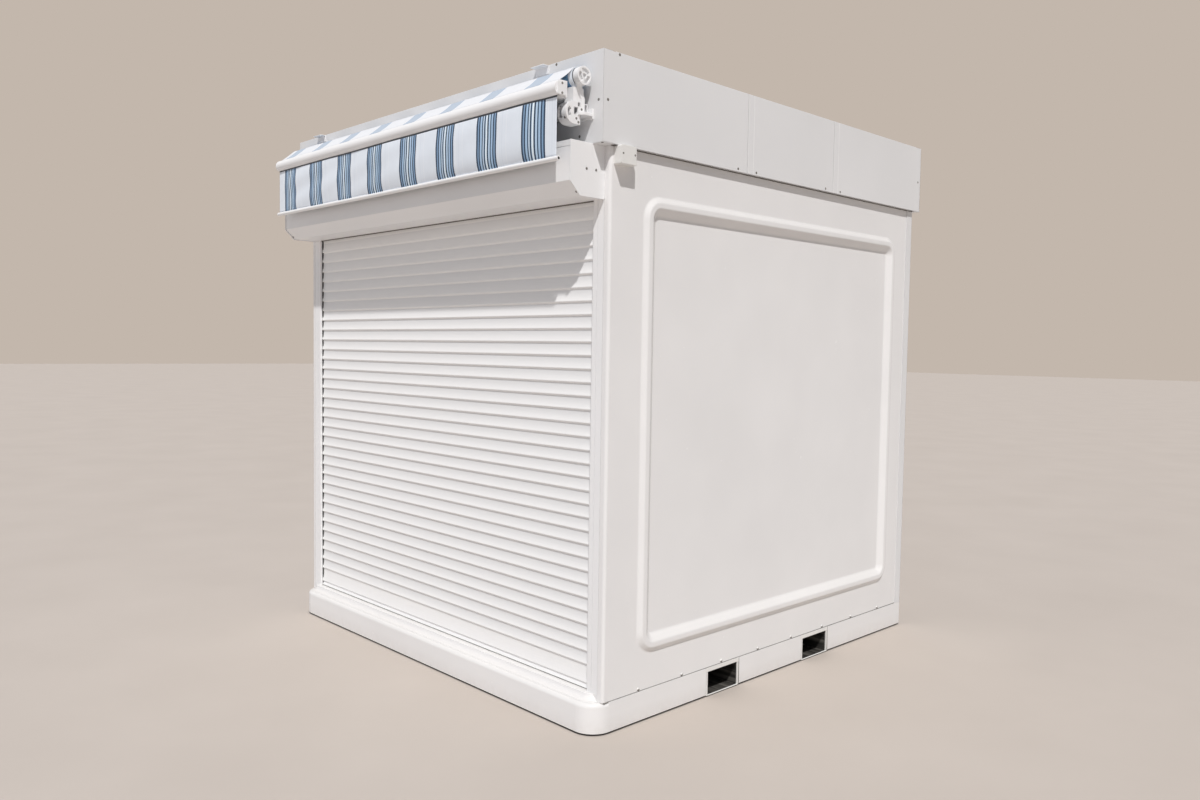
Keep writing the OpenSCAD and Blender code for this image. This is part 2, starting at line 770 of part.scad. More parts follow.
// Section of the front rail: round at the front, square at the back, with the valance's groove below
module rail_section() {
    translate([rail_y, rail_z]) difference() {
        union() {
            circle(rail_r);
            translate([0, -rail_r]) square([rail_r, rail_h]);
        }
        translate([-valance_front - valance_groove / 2, -rail_r - 1])
            square([valance_groove, rail_r + 1 - valance_top]);
    }
}

module front_rail() {
    color(powder_coat) along_x(-rail_half, rail_half) rail_section();
}

// Plate screwed to an end of the front rail
module rail_cap() {
    color(powder_coat) along_x(rail_half, rail_half + rail_cap_t)
        translate([rail_y - rail_cap_d / 2, rail_z - rail_cap_h / 2])
            rounded_rect(rail_cap_d, rail_cap_h, rail_cap_r);
}

// Cloth that hangs from the rail's groove to the hem bar
module valance() {
    top = [rail_y - valance_front, rail_z - valance_top - awning_gap];
    foot = [hem_y, hem_z + hem_r + awning_gap];
    half_t = [cloth_t / 2, 0];
    color(stripe_cloth) along_x(-cloth_half, cloth_half)
        polygon([top - half_t, top + half_t, foot + half_t, foot - half_t]);
}

module valance_bar() {
    color(powder_coat) translate([-hem_half, hem_y, hem_z]) rotate([0, 90, 0])
        cylinder(r = hem_r, h = 2 * hem_half);
}

// Cast shoulder: a hook with a curved slot and a window, a neck under the arm's root, a foot under the shelf
module shoulder() {
    x0 = shelf_x0 + shoulder_in;
    x1 = x0 + shoulder_w;
    hook_y0 = root_y0 - hook_r;
    hook_z = root_z0 - hook_r;
    color(powder_coat) difference() {
        union() {
            along_x(x0, x1) translate([root_y0, hook_z]) intersection() {
                circle(hook_r);
                translate([-hook_r, -hook_r]) square([hook_r, 2 * hook_r]);
            }
            block([x0, root_y0, root_z0 - shoulder_neck], [x1, shelf_y0, root_z0]);
            block([x0, root_y0, hook_z - hook_r], [x1, shelf_y0 + shoulder_foot, shelf_z - shelf_t]);
        }
        translate([x0 - 1, root_y0, hook_z]) rotate([90, 0, 90]) rotate([0, 0, 180 - hook_slot_turn / 2])
            rotate_extrude(angle = hook_slot_turn)
                translate([hook_slot_r, 0]) square([hook_slot_w, shoulder_w + 2]);
        block([x0 + window_in, hook_y0 - 1, hook_z - window_h / 2],
            [x0 + window_in + window_w, hook_y0 + window_d, hook_z + window_h / 2]);
    }
}

// Tube of an arm from x0 to x1, with its middle at y
module arm_tube(x0, x1, y) {
    along_x(x0, x1) translate([y - arm_t / 2, arm_z0]) rounded_rect(arm_t, arm_h, arm_edge_r);
}

// Knuckle plate of an elbow: a disc at the pivot and a lug that joins it to an arm
module knuckle(arm_y, z0, h) {
    lug_y = [min(arm_y - arm_t / 2, elbow_y), max(arm_y + arm_t / 2, elbow_y)];
    translate([elbow_x, elbow_y, z0]) cylinder(r = knuckle_r, h = h);
    block([elbow_x, lug_y[0], z0], [elbow_x + knuckle_r + knuckle_neck, lug_y[1], z0 + h]);
}

// Rear arm, folded inwards: a root block on the shoulder, a tube and a forked elbow end
module rear_arm() {
    color(powder_coat) {
        block([shelf_x0, root_y0, root_z0], [awning_half - awning_gap, root_y1, arm_z0 + arm_h]);
        arm_tube(elbow_x + knuckle_r + knuckle_neck, shelf_x0, rear_arm_y);
        for (z = [arm_z0, arm_z0 + arm_h - ear_t]) knuckle(rear_arm_y, z, ear_t);
    }
}

// Front arm, folded back outwards: a tongue in the elbow, a tube and a foot on the front rail
module front_arm() {
    color(powder_coat) {
        arm_tube(elbow_x + knuckle_r + knuckle_neck, front_arm_x, front_arm_y);
        knuckle(front_arm_y, arm_z0 + ear_t, arm_h - 2 * ear_t);
        block([front_arm_x - arm_foot, rail_y + rail_r, arm_z0 + arm_edge_r],
            [front_arm_x, front_arm_y, arm_z0 + arm_h - arm_edge_r]);
    }
}

// Two folded cleats on the top edge of the fascia
module awning_cleats() {
    top = fascia_top - fascia_t;
    centres = [cleat_in[0] - awning_half, awning_half - cleat_in[1]];
    color(powder_coat) for (x = centres) translate([x - cleat_w / 2, 0, 0]) {
        block([0, fascia_y0 - cleat_out, top - cleat_t], [cleat_w, fascia_y0, top]);
        block([0, fascia_y0 - cleat_t, top - cleat_drop], [cleat_w, fascia_y0, top]);
    }
}

// Small box for the shutter's key switch, under the fascia on the right wall
module switch_box() {
    color(powder_coat) along_x(wall_x, wall_x + switch_size[0])
        translate([wall_y0 + switch_back, fascia_z - switch_size[2]])
            rounded_rect(switch_size[1], switch_size[2], switch_edge_r);
}

base_front();
base_middle();
base_rear();
fork_pocket(pocket_front_y);  // fork_pocket_front
fork_pocket(pocket_rear_y);  // fork_pocket_rear
floor_boards();
shutter_sill();
side_wall();  // right_wall
on_left() side_wall();  // left_wall
back_wall();
rear_corner_trim();  // rear_corner_trim_right
on_left() rear_corner_trim();  // rear_corner_trim_left
front_header();
roof_panel();
fascia_front();
fascia_back();
fascia_side_run();  // fascia_right
on_left() fascia_side_run();  // fascia_left
shutter_guide();  // shutter_guide_right
on_left() shutter_guide();  // shutter_guide_left
shutter_curtain();
shutter_bottom_bar();
shutter_box();
shutter_box_end();  // shutter_box_end_right
on_left() shutter_box_end();  // shutter_box_end_left
torsion_bar();
wall_bracket();  // wall_bracket_right
on_left() wall_bracket();  // wall_bracket_left
roller_bracket();  // roller_bracket_right
on_left() roller_bracket();  // roller_bracket_left
cloth_roll();
awning_cloth();
front_rail();
rail_cap();  // rail_cap_right
on_left() rail_cap();  // rail_cap_left
valance();
valance_bar();
shoulder();  // shoulder_right
on_left() shoulder();  // shoulder_left
rear_arm();  // rear_arm_right
on_left() rear_arm();  // rear_arm_left
front_arm();  // front_arm_right
on_left() front_arm();  // front_arm_left
awning_cleats();
switch_box();
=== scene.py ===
import math

import bmesh
import bpy
from mathutils import Matrix, Vector


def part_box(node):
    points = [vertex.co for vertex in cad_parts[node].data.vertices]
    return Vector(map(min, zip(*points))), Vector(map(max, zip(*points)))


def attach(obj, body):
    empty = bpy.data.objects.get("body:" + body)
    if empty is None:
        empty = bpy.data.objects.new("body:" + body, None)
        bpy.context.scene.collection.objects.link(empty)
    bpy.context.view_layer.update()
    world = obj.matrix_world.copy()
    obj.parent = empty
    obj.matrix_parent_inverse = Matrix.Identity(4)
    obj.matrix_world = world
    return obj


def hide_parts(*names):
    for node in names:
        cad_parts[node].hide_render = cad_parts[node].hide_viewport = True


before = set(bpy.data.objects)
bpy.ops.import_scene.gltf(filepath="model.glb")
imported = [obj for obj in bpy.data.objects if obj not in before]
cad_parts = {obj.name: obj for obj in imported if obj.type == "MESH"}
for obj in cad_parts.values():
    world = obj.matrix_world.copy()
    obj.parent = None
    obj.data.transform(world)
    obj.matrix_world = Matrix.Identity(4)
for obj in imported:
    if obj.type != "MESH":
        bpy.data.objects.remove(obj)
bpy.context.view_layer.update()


# Base mouldings and shutter sill: thick glass-reinforced plastic laid up in a mould,
# white gel coat first, so the faces are glossy, a little wavy and round at the front edge.
# They stand on the ground and carry everything else.
def linear(hex_colour):
    """sRGB hex to linear RGBA."""
    parts = [int(hex_colour[i:i + 2], 16) / 255 for i in (1, 3, 5)]
    light = [c / 12.92 if c <= 0.04045 else ((c + 0.055) / 1.055) ** 2.4 for c in parts]
    return tuple(light) + (1.0,)


def add(tree, kind, inputs=None, **settings):
    """Adds a node; an input given as a socket is linked, any other is set."""
    made = tree.nodes.new(kind)
    for name, value in settings.items():
        setattr(made, name, value)
    for name, value in (inputs or {}).items():
        if isinstance(value, bpy.types.NodeSocket):
            tree.links.new(value, made.inputs[name])
        else:
            made.inputs[name].default_value = value
    return made


def new_material(name):
    """An empty material with its Principled shader and object coordinates in metres."""
    made = bpy.data.materials.new(name)
    made.use_nodes = True
    tree = made.node_tree
    place = add(tree, "ShaderNodeTexCoord").outputs["Object"]
    return made, tree, tree.nodes["Principled BSDF"], place


def per_mm(size_mm):
    """Texture scale whose features are about size_mm across on coordinates in metres."""
    return 1000 / size_mm


def dress(material, *names):
    """Gives CAD nodes their finish."""
    for name in names:
        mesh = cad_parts[name].data
        mesh.materials.clear()
        mesh.materials.append(material)


# Polyester gel coat off a polished mould: glossy, with long soft ripples over the glass
# mat below and a faint cream drift. Dust dulls the last few centimetres above the ground.
# Faces that look up are greyer: partly settled dust, partly painted shade that tones down the sun
# on them.
# The foot is painted near black a few millimetres up, as painted shadow in the rebate and under
# the edge.
DUST_TOP = 0.07
FOOT_SHADOW_TOP = 0.0078
MOULD_ROUND = 0.003
gel_coat, tree, shader, place = new_material("gel_coat_moulded")
drift = add(tree, "ShaderNodeTexNoise", {"Vector": place, "Scale": per_mm(450), "Detail": 2.0})
tint = add(tree, "ShaderNodeValToRGB", {"Fac": drift.outputs["Fac"]})
tint.color_ramp.elements[0].position = 0.3
tint.color_ramp.elements[0].color = linear("#ebeaea")
tint.color_ramp.elements[1].position = 0.7
tint.color_ramp.elements[1].color = linear("#f0efef")
height = add(tree, "ShaderNodeSeparateXYZ", {"Vector": place})
dust_band = add(tree, "ShaderNodeMapRange", {
    "Value": height.outputs["Z"], "From Min": 0.0, "From Max": DUST_TOP,
    "To Min": 0.34, "To Max": 0.0})
speckle = add(tree, "ShaderNodeTexNoise", {"Vector": place, "Scale": per_mm(25), "Detail": 6.0})
dust = add(tree, "ShaderNodeMath", {
    0: dust_band.outputs["Result"], 1: speckle.outputs["Fac"]}, operation="MULTIPLY")
soiled = add(tree, "ShaderNodeMix", {
    "Factor": dust.outputs["Value"], 6: tint.outputs["Color"],
    7: linear("#b9b0a4")}, data_type="RGBA")
# Up-facing faces are mixed greyer: partly dust, partly painted shade on the sunlit tops.
surface = add(tree, "ShaderNodeNewGeometry")
facing = add(tree, "ShaderNodeSeparateXYZ", {"Vector": surface.outputs["Normal"]})
top_dust_and_shade = add(tree, "ShaderNodeMapRange", {
    "Value": facing.outputs["Z"], "From Min": 0.1, "From Max": 1.0, "To Min": 0.0, "To Max": 0.4})
tops_dust_and_shaded = add(tree, "ShaderNodeMix", {
    "Factor": top_dust_and_shade.outputs["Result"], 6: soiled.outputs[2],
    7: linear("#c2bdb6")}, data_type="RGBA")
# Painted shadow: near black below this height, in the rebated foot and along the base's lower
# edge.
in_foot_shadow = add(tree, "ShaderNodeMath", {
    0: height.outputs["Z"], 1: FOOT_SHADOW_TOP}, operation="LESS_THAN")
foot_shadowed = add(tree, "ShaderNodeMix", {
    "Factor": in_foot_shadow.outputs["Value"], 6: tops_dust_and_shaded.outputs[2],
    7: linear("#1d1a18")}, data_type="RGBA")
gloss = add(tree, "ShaderNodeMapRange", {
    "Value": speckle.outputs["Fac"], "To Min": 0.2, "To Max": 0.3})
ripple = add(tree, "ShaderNodeTexNoise", {"Vector": place, "Scale": per_mm(120), "Detail": 1.0})
edge = add(tree, "ShaderNodeBevel", {"Radius": MOULD_ROUND}, samples=4)
bump = add(tree, "ShaderNodeBump", {
    "Height": ripple.outputs["Fac"], "Strength": 0.05, "Distance": 0.01,
    "Normal": edge.outputs["Normal"]})
tree.links.new(foot_shadowed.outputs[2], shader.inputs["Base Color"])
tree.links.new(gloss.outputs["Result"], shader.inputs["Roughness"])
tree.links.new(bump.outputs["Normal"], shader.inputs["Normal"])
shader.inputs["IOR"].default_value = 1.5
dress(gel_coat, "base_front", "base_middle", "base_rear", "shutter_sill")


# Fork pockets: welded steel tunnels through the base, white where their ends show.
# Inside, a dark primer rubbed bare in streaks by the forks, painted darker still as the shade in
# the tunnel.
PAINTED_DEPTH = 0.006
BARE_FOOT = 0.004
PLATE_ROUND = 0.0015
side_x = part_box("fork_pocket_front")[1][0]
pocket_paint, tree, shader, place = new_material("painted_steel_shaded_inside")
across = add(tree, "ShaderNodeSeparateXYZ", {"Vector": place})
reach = add(tree, "ShaderNodeMath", {0: across.outputs["X"]}, operation="ABSOLUTE")
outside = add(tree, "ShaderNodeMath", {
    0: reach.outputs["Value"], 1: side_x - PAINTED_DEPTH}, operation="GREATER_THAN")
off_ground = add(tree, "ShaderNodeMath", {
    0: across.outputs["Z"], 1: BARE_FOOT}, operation="GREATER_THAN")
painted = add(tree, "ShaderNodeMath", {
    0: outside.outputs["Value"], 1: off_ground.outputs["Value"]}, operation="MULTIPLY")
stretch = add(tree, "ShaderNodeMapping", {"Vector": place, "Scale": (0.05, 1.0, 1.0)})
streaks = add(tree, "ShaderNodeTexNoise", {
    "Vector": stretch.outputs["Vector"], "Scale": per_mm(14), "Detail": 5.0})
# Inside colour: primer streaks, darkened as painted shade of the tunnel.
primer_and_tunnel_shade = add(tree, "ShaderNodeValToRGB", {"Fac": streaks.outputs["Fac"]})
primer_and_tunnel_shade.color_ramp.elements[0].position = 0.42
primer_and_tunnel_shade.color_ramp.elements[0].color = linear("#2b2a28")
primer_and_tunnel_shade.color_ramp.elements[1].position = 0.75
primer_and_tunnel_shade.color_ramp.elements[1].color = linear("#6b6863")
paint = add(tree, "ShaderNodeMix", {
    "Factor": painted.outputs["Value"], 6: primer_and_tunnel_shade.outputs["Color"],
    7: linear("#ecebe8")}, data_type="RGBA")
edge = add(tree, "ShaderNodeBevel", {"Radius": PLATE_ROUND}, samples=4)
bump = add(tree, "ShaderNodeBump", {
    "Height": streaks.outputs["Fac"], "Strength": 0.15, "Distance": 0.002,
    "Normal": edge.outputs["Normal"]})
tree.links.new(paint.outputs[2], shader.inputs["Base Color"])
tree.links.new(bump.outputs["Normal"], shader.inputs["Normal"])
shader.inputs["Roughness"].default_value = 0.45
dress(pocket_paint, "fork_pocket_front", "fork_pocket_rear")


# Floor boards: birch plywood laid on the base inside the walls, sealed with clear lacquer.
# Rotary-cut veneer shows wide, wandering grain with darker late wood.
def wave_per_mm(size_mm):
    """Wave texture scale for bands size_mm apart; a unit of scale draws 20 radians."""
    return per_mm(size_mm) * 2 * math.pi / 20


plywood, tree, shader, place = new_material("birch_plywood_lacquered")
lengthwise = add(tree, "ShaderNodeMapping", {"Vector": place, "Scale": (1.0, 0.12, 1.0)})
grain = add(tree, "ShaderNodeTexWave", {
    "Vector": lengthwise.outputs["Vector"], "Scale": wave_per_mm(28), "Distortion": 9.0,
    "Detail": 4.0, "Detail Scale": 1.6}, wave_type="BANDS", bands_direction="X")
wood = add(tree, "ShaderNodeValToRGB", {"Fac": grain.outputs["Fac"]})
wood.color_ramp.elements[0].color = linear("#a77c4e")
wood.color_ramp.elements[1].color = linear("#c89f6e")
bump = add(tree, "ShaderNodeBump", {
    "Height": grain.outputs["Fac"], "Strength": 0.1, "Distance": 0.001})
tree.links.new(wood.outputs["Color"], shader.inputs["Base Color"])
tree.links.new(bump.outputs["Normal"], shader.inputs["Normal"])
shader.inputs["Roughness"].default_value = 0.35
dress(plywood, "floor_boards")


# Walls, header and roof: foam-cored panels in the same gel coat, each wall moulded with
# a round bead about a sunk panel. They stand on the base and carry the flat roof.
dress(gel_coat, "right_wall", "left_wall", "back_wall", "front_header", "roof_panel")


# Seam seal: a thin bead of grey polyurethane sealant, gunned into the joint between the
# base and the walls along both sides and the back, and up the rear side of each fork pocket,
# where the base was slid up to it, and wiped off flush.
def mesh_piece(name, build, material, smooth=True):
    """A piece fixed to the hut, whose bmesh is filled by build."""
    made = bmesh.new()
    build(made)
    bmesh.ops.recalc_face_normals(made, faces=made.faces)
    mesh = bpy.data.meshes.new(name)
    made.to_mesh(mesh)
    made.free()
    for face in mesh.polygons:
        face.use_smooth = smooth
    mesh.materials.append(material)
    piece = bpy.data.objects.new(name, mesh)
    bpy.context.scene.collection.objects.link(piece)
    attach(piece, "root")
    return piece


def swept(made, section, start, end, up):
    """Closed prism: section points (across, up) carried from start to end."""
    start, end, up = Vector(start), Vector(end), Vector(up)
    across = (end - start).normalized().cross(up)
    rings = [[made.verts.new(at + across * a + up * u) for a, u in section] for at in (start, end)]
    count = len(section)
    for i in range(count):
        j = (i + 1) % count
        made.faces.new((rings[0][i], rings[0][j], rings[1][j], rings[1][i]))
    made.faces.new(rings[0])
    made.faces.new(rings[1])


base_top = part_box("base_middle")[1][2]
wall_low, wall_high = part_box("right_wall")
wall_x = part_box("roof_panel")[1][0]
wall_front, wall_back = wall_low[1], wall_high[1]


def along_walls(made, section, front, at_z):
    """Carries a section along both side walls, from front to back, and along the back wall."""
    for side in (-1, 1):
        swept(made, [(a * side, u) for a, u in section], (side * wall_x, front, at_z),
              (side * wall_x, wall_back, at_z), (0, 0, 1))
    swept(made, [(-a, u) for a, u in section], (-wall_x, wall_back, at_z),
          (wall_x, wall_back, at_z), (0, 0, 1))


# Sealant cures to a dull skin, paler and darker in patches where it was smeared.
sealant, tree, shader, place = new_material("polyurethane_sealant")
smear = add(tree, "ShaderNodeTexNoise", {"Vector": place, "Scale": per_mm(12), "Detail": 3.0})
grey = add(tree, "ShaderNodeValToRGB", {"Fac": smear.outputs["Fac"]})
grey.color_ramp.elements[0].color = linear("#72706d")
grey.color_ramp.elements[1].color = linear("#a5a3a0")
tree.links.new(grey.outputs["Color"], shader.inputs["Base Color"])
shader.inputs["Roughness"].default_value = 0.6

SEAL_START = 0.006
SEAL_PROUD = 0.0015
SEAL_TOP_PROUD = SEAL_PROUD * 0.6
SEAL_HEIGHT = 0.003
JOINT_PROUD = 0.0005
JOINT_HALF = 0.0014
seal_section = [(-SEAL_PROUD, 0), (SEAL_PROUD, 0), (SEAL_TOP_PROUD, SEAL_HEIGHT),
                (-SEAL_PROUD, SEAL_HEIGHT)]
joint_section = [(-JOINT_PROUD, -JOINT_HALF), (JOINT_PROUD, -JOINT_HALF),
                 (JOINT_PROUD, JOINT_HALF), (-JOINT_PROUD, JOINT_HALF)]


def seams(made):
    along_walls(made, seal_section, wall_front + SEAL_START, base_top)
    for pocket in ("fork_pocket_front", "fork_pocket_rear"):
        at_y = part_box(pocket)[1][1]
        for side in (-1, 1):
            swept(made, joint_section, (side * side_x, at_y, BARE_FOOT),
                  (side * side_x, at_y, base_top), (0, 1, 0))


mesh_piece("seam_seal", seams, sealant)


# Wall screws: stainless pan heads in a row just above the seam, eight to a wall, driven
# through the panel's foot into the base. They are painted over, so they show as white domes;
# the lower part of each head is painted brownish grey as the shadow under it.
HEAD_PROFILE = [(0.0, 0.45), (0.36, 0.45), (0.42, 0.95), (0.75, 0.8), (0.95, 0.4), (1.0, 0.0)]
HEAD_SIDES = 14


def screw_heads(places, radius, rise):
    """Builder for pan heads with a socket, at (point, outward axis) places."""
    def build(made):
        turns = [2 * math.pi * k / HEAD_SIDES for k in range(HEAD_SIDES)]
        for point, axis in places:
            axis = Vector(axis).normalized()
            side = axis.orthogonal().normalized()
            other = axis.cross(side)
            spokes = [side * math.cos(t) + other * math.sin(t) for t in turns]
            rings = []
            for r, h in HEAD_PROFILE:
                centre = Vector(point) + axis * h * rise
                if r == 0:
                    rings.append([made.verts.new(centre)])
                else:
                    rings.append([made.verts.new(centre + spoke * r * radius) for spoke in spokes])
            for inner, outer in zip(rings, rings[1:]):
                for k in range(HEAD_SIDES):
                    m = (k + 1) % HEAD_SIDES
                    if len(inner) == 1:
                        made.faces.new((inner[0], outer[k], outer[m]))
                    else:
                        made.faces.new((inner[k], outer[k], outer[m], inner[m]))
            made.faces.new(rings[-1])
    return build


SEAM_SCREWS = 8
SEAM_FIRST = 0.193
SEAM_STEP = 0.2557
SEAM_UP = 0.011
SEAM_HEAD = 0.007
SEAM_RISE = 0.005
SHADOW_BELOW_MID = 0.001
seam_z = base_top + SEAM_UP
painted_screw, tree, shader, place = new_material("stainless_screw_overpainted")
wear = add(tree, "ShaderNodeTexNoise", {"Vector": place, "Scale": per_mm(3), "Detail": 2.0})
rim = add(tree, "ShaderNodeValToRGB", {"Fac": wear.outputs["Fac"]})
rim.color_ramp.elements[0].color = linear("#d6d5d3")
rim.color_ramp.elements[1].color = linear("#eeeeec")
head = add(tree, "ShaderNodeSeparateXYZ", {"Vector": place})
# Painted shadow: below a millimetre under the head's middle the colour turns brownish grey.
head_lower_part = add(tree, "ShaderNodeMath", {
    0: head.outputs["Z"], 1: seam_z - SHADOW_BELOW_MID}, operation="LESS_THAN")
head_shadowed = add(tree, "ShaderNodeMix", {
    "Factor": head_lower_part.outputs["Value"], 6: rim.outputs["Color"],
    7: linear("#77716a")}, data_type="RGBA")
tree.links.new(head_shadowed.outputs[2], shader.inputs["Base Color"])
shader.inputs["Roughness"].default_value = 0.35
seam_places = []
for i in range(SEAM_SCREWS):
    at_y = wall_front + SEAM_FIRST + i * SEAM_STEP
    seam_places.append(((wall_x, at_y, seam_z), (1, 0, 0)))
    seam_places.append(((-wall_x, at_y, seam_z), (-1, 0, 0)))
    at_x = (i - (SEAM_SCREWS - 1) / 2) * SEAM_STEP
    seam_places.append(((at_x, wall_back, seam_z), (0, 1, 0)))
mesh_piece("wall_screws", screw_heads(seam_places, SEAM_HEAD, SEAM_RISE), painted_screw)


# Fascia and rear corner trims: folded aluminium sheet, powder coated white. The fascia
# stands proud of the walls and hides the roof; its panels butt on strips behind the joints.
def powder(name, low, high, fold):
    """White powder coat between two shades, on sheet with folds of the given radius."""
    # The powder melts into a satin skin with a fine orange peel, drawn at twice its size to show.
    made, tree, shader, place = new_material(name)
    peel = add(tree, "ShaderNodeTexNoise", {"Vector": place, "Scale": per_mm(5), "Detail": 2.0})
    cloud = add(tree, "ShaderNodeTexNoise", {"Vector": place, "Scale": per_mm(600), "Detail": 2.0})
    tint = add(tree, "ShaderNodeValToRGB", {"Fac": cloud.outputs["Fac"]})
    tint.color_ramp.elements[0].position = 0.3
    tint.color_ramp.elements[0].color = linear(low)
    tint.color_ramp.elements[1].position = 0.7
    tint.color_ramp.elements[1].color = linear(high)
    satin = add(tree, "ShaderNodeMapRange", {
        "Value": peel.outputs["Fac"], "To Min": 0.3, "To Max": 0.42})
    edge = add(tree, "ShaderNodeBevel", {"Radius": fold}, samples=4)
    bump = add(tree, "ShaderNodeBump", {
        "Height": peel.outputs["Fac"], "Strength": 0.06, "Distance": 0.002,
        "Normal": edge.outputs["Normal"]})
    tree.links.new(tint.outputs["Color"], shader.inputs["Base Color"])
    tree.links.new(satin.outputs["Result"], shader.inputs["Roughness"])
    tree.links.new(bump.outputs["Normal"], shader.inputs["Normal"])
    shader.inputs["IOR"].default_value = 1.5
    return made


# The fascia's coat is a shade greyer than that of the other aluminium parts.
FASCIA_FOLD = 0.004
fascia_coat = powder("powder_coat_greyer", "#e3e3e4", "#e8e8e9", FASCIA_FOLD)
dress(fascia_coat, "fascia_front", "fascia_back", "fascia_right", "fascia_left",
      "rear_corner_trim_right", "rear_corner_trim_left")


# Fascia screws: countersunk stainless heads, all but flush, in pairs beside the joints, near
# the corners and under the top edge, through the sheet into the roof edge.
# Bare stainless is a dull grey mirror, rougher where the driver has marked it.
bare_screw, tree, shader, place = new_material("stainless_screw_bare")
marks = add(tree, "ShaderNodeTexNoise", {"Vector": place, "Scale": per_mm(2), "Detail": 2.0})
dull = add(tree, "ShaderNodeMapRange", {
    "Value": marks.outputs["Fac"], "To Min": 0.3, "To Max": 0.5})
tree.links.new(dull.outputs["Result"], shader.inputs["Roughness"])
shader.inputs["Base Color"].default_value = linear("#8d8c8a")
shader.inputs["Metallic"].default_value = 1.0
fascia_low, fascia_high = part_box("fascia_right")
fascia_x = fascia_high[0]
fascia_y0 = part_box("fascia_front")[0][1]
fascia_y1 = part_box("fascia_back")[1][1]
fascia_z, fascia_top = fascia_low[2], fascia_high[2]
JOINTS_Y = (-0.295, 0.355)
JOINT_SCREW = 0.062
SCREW_LOW = 0.012
SCREW_MID = 0.152
CORNER_IN = 0.024
EDGE_DOWN = 0.007
EDGE_BACK = 0.08
FRONT_EDGE_X = 0.91
FRONT_LOW_X = 1.044
FRONT_LOW_UP = 0.035
FASCIA_HEAD = 0.0055
FLUSH_RISE = 0.0001
fascia_places = []
for side in (-1, 1):
    out = (side, 0, 0)
    for joint in JOINTS_Y:
        for step in (-JOINT_SCREW, JOINT_SCREW):
            fascia_places.append(((side * fascia_x, joint + step, fascia_z + SCREW_LOW), out))
    for at_y in (fascia_y0 + CORNER_IN, fascia_y1 - CORNER_IN):
        fascia_places.append(((side * fascia_x, at_y, fascia_z + SCREW_MID), out))
    fascia_places.append(((side * fascia_x, fascia_y0 + EDGE_BACK, fascia_top - EDGE_DOWN), out))
    for at_x, at_z in ((fascia_x - CORNER_IN, fascia_z + SCREW_MID),
                       (FRONT_EDGE_X, fascia_top - EDGE_DOWN),
                       (FRONT_LOW_X, fascia_z + FRONT_LOW_UP)):
        fascia_places.append(((side * at_x, fascia_y0, at_z), (0, -1, 0)))
    at_x = side * (fascia_x - CORNER_IN)
    fascia_places.append(((at_x, fascia_y1, fascia_z + SCREW_MID), (0, 1, 0)))
mesh_piece("fascia_screws", screw_heads(fascia_places, FASCIA_HEAD, FLUSH_RISE), bare_screw)


# Joint covers: thin aluminium strips over the joints of the side fascia, bedded in sealant.
# Only their two edges are drawn, as flat strips a tenth of a millimetre proud. Their whiter coat
# is a painted highlight for the light that the rolled edges catch, so they show as a pair of pale
# lines.
COVER_WIDE = 0.042
COVER_EDGE = 0.005
COVER_PROUD = 0.0001
SHEET_FOLD = 0.0015
powder_coat = powder("powder_coat_on_aluminium", "#f0f0f1", "#f4f4f5", SHEET_FOLD)


def oblong(across, up):
    """Section of a flat strip."""
    return [(0, 0), (across, 0), (across, up), (0, up)]


def joint_covers(made):
    for side in (-1, 1):
        for joint in JOINTS_Y:
            for at_y in (joint, joint + COVER_WIDE - COVER_EDGE):
                swept(made, oblong(-COVER_PROUD * side, COVER_EDGE),
                      (side * fascia_x, at_y, fascia_z), (side * fascia_x, at_y, fascia_top),
                      (0, 1, 0))


mesh_piece("fascia_joint_covers", joint_covers, powder_coat, smooth=False)


# Fascia strips: extruded rubber between the fascia's folded lower edge and the walls. They are
# a dark strip standing in for the shaded underside of the fascia, painted shade that shows as a
# dark line over the shaded top of each wall.
# The rubber is black when new and greys with bloom in the open air.
STRIP_PROUD = 0.004
STRIP_HIGH = 0.0024
rubber, tree, shader, place = new_material("epdm_rubber_strip")
bloom = add(tree, "ShaderNodeTexNoise", {"Vector": place, "Scale": per_mm(20), "Detail": 3.0})
black = add(tree, "ShaderNodeValToRGB", {"Fac": bloom.outputs["Fac"]})
black.color_ramp.elements[0].color = linear("#5a5650")
black.color_ramp.elements[1].color = linear("#6a655f")
tree.links.new(black.outputs["Color"], shader.inputs["Base Color"])
shader.inputs["Roughness"].default_value = 0.7


def fascia_strips(made):
    along_walls(made, oblong(STRIP_PROUD, -STRIP_HIGH), wall_front, fascia_z)


mesh_piece("fascia_shade_strip", fascia_strips, rubber, smooth=False)


# Shutter guides and box: extruded and folded aluminium in the same white powder coat.
# The guides stand on the sill against the walls, and the box rests on them.
dress(powder_coat, "shutter_guide_right", "shutter_guide_left", "shutter_box",
      "shutter_box_end_right", "shutter_box_end_left")


# Shutter box screws: stainless heads like those of the fascia, two through each end cap into
# the box and one through the chamfer beside it.
CAP_SCREWS_BACK = (0.075, 0.122)
CAP_SCREWS_UP = 0.098
CHAMFER_IN = 0.011
CHAMFER_BACK = 0.037
CHAMFER_UP = 0.011
BOX_HEAD = 0.005
BOX_RISE = 0.002
cap_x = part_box("shutter_box_end_right")[1][0]
box_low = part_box("shutter_box")[0]
box_places = []
for side in (-1, 1):
    for back in CAP_SCREWS_BACK:
        point = (side * cap_x, box_low[1] + back, box_low[2] + CAP_SCREWS_UP)
        box_places.append((point, (side, 0, 0)))
    point = (side * (cap_x - CHAMFER_IN), box_low[1] + CHAMFER_BACK, box_low[2] + CHAMFER_UP)
    box_places.append((point, (0, -1, -1)))
mesh_piece("box_screws", screw_heads(box_places, BOX_HEAD, BOX_RISE), bare_screw)


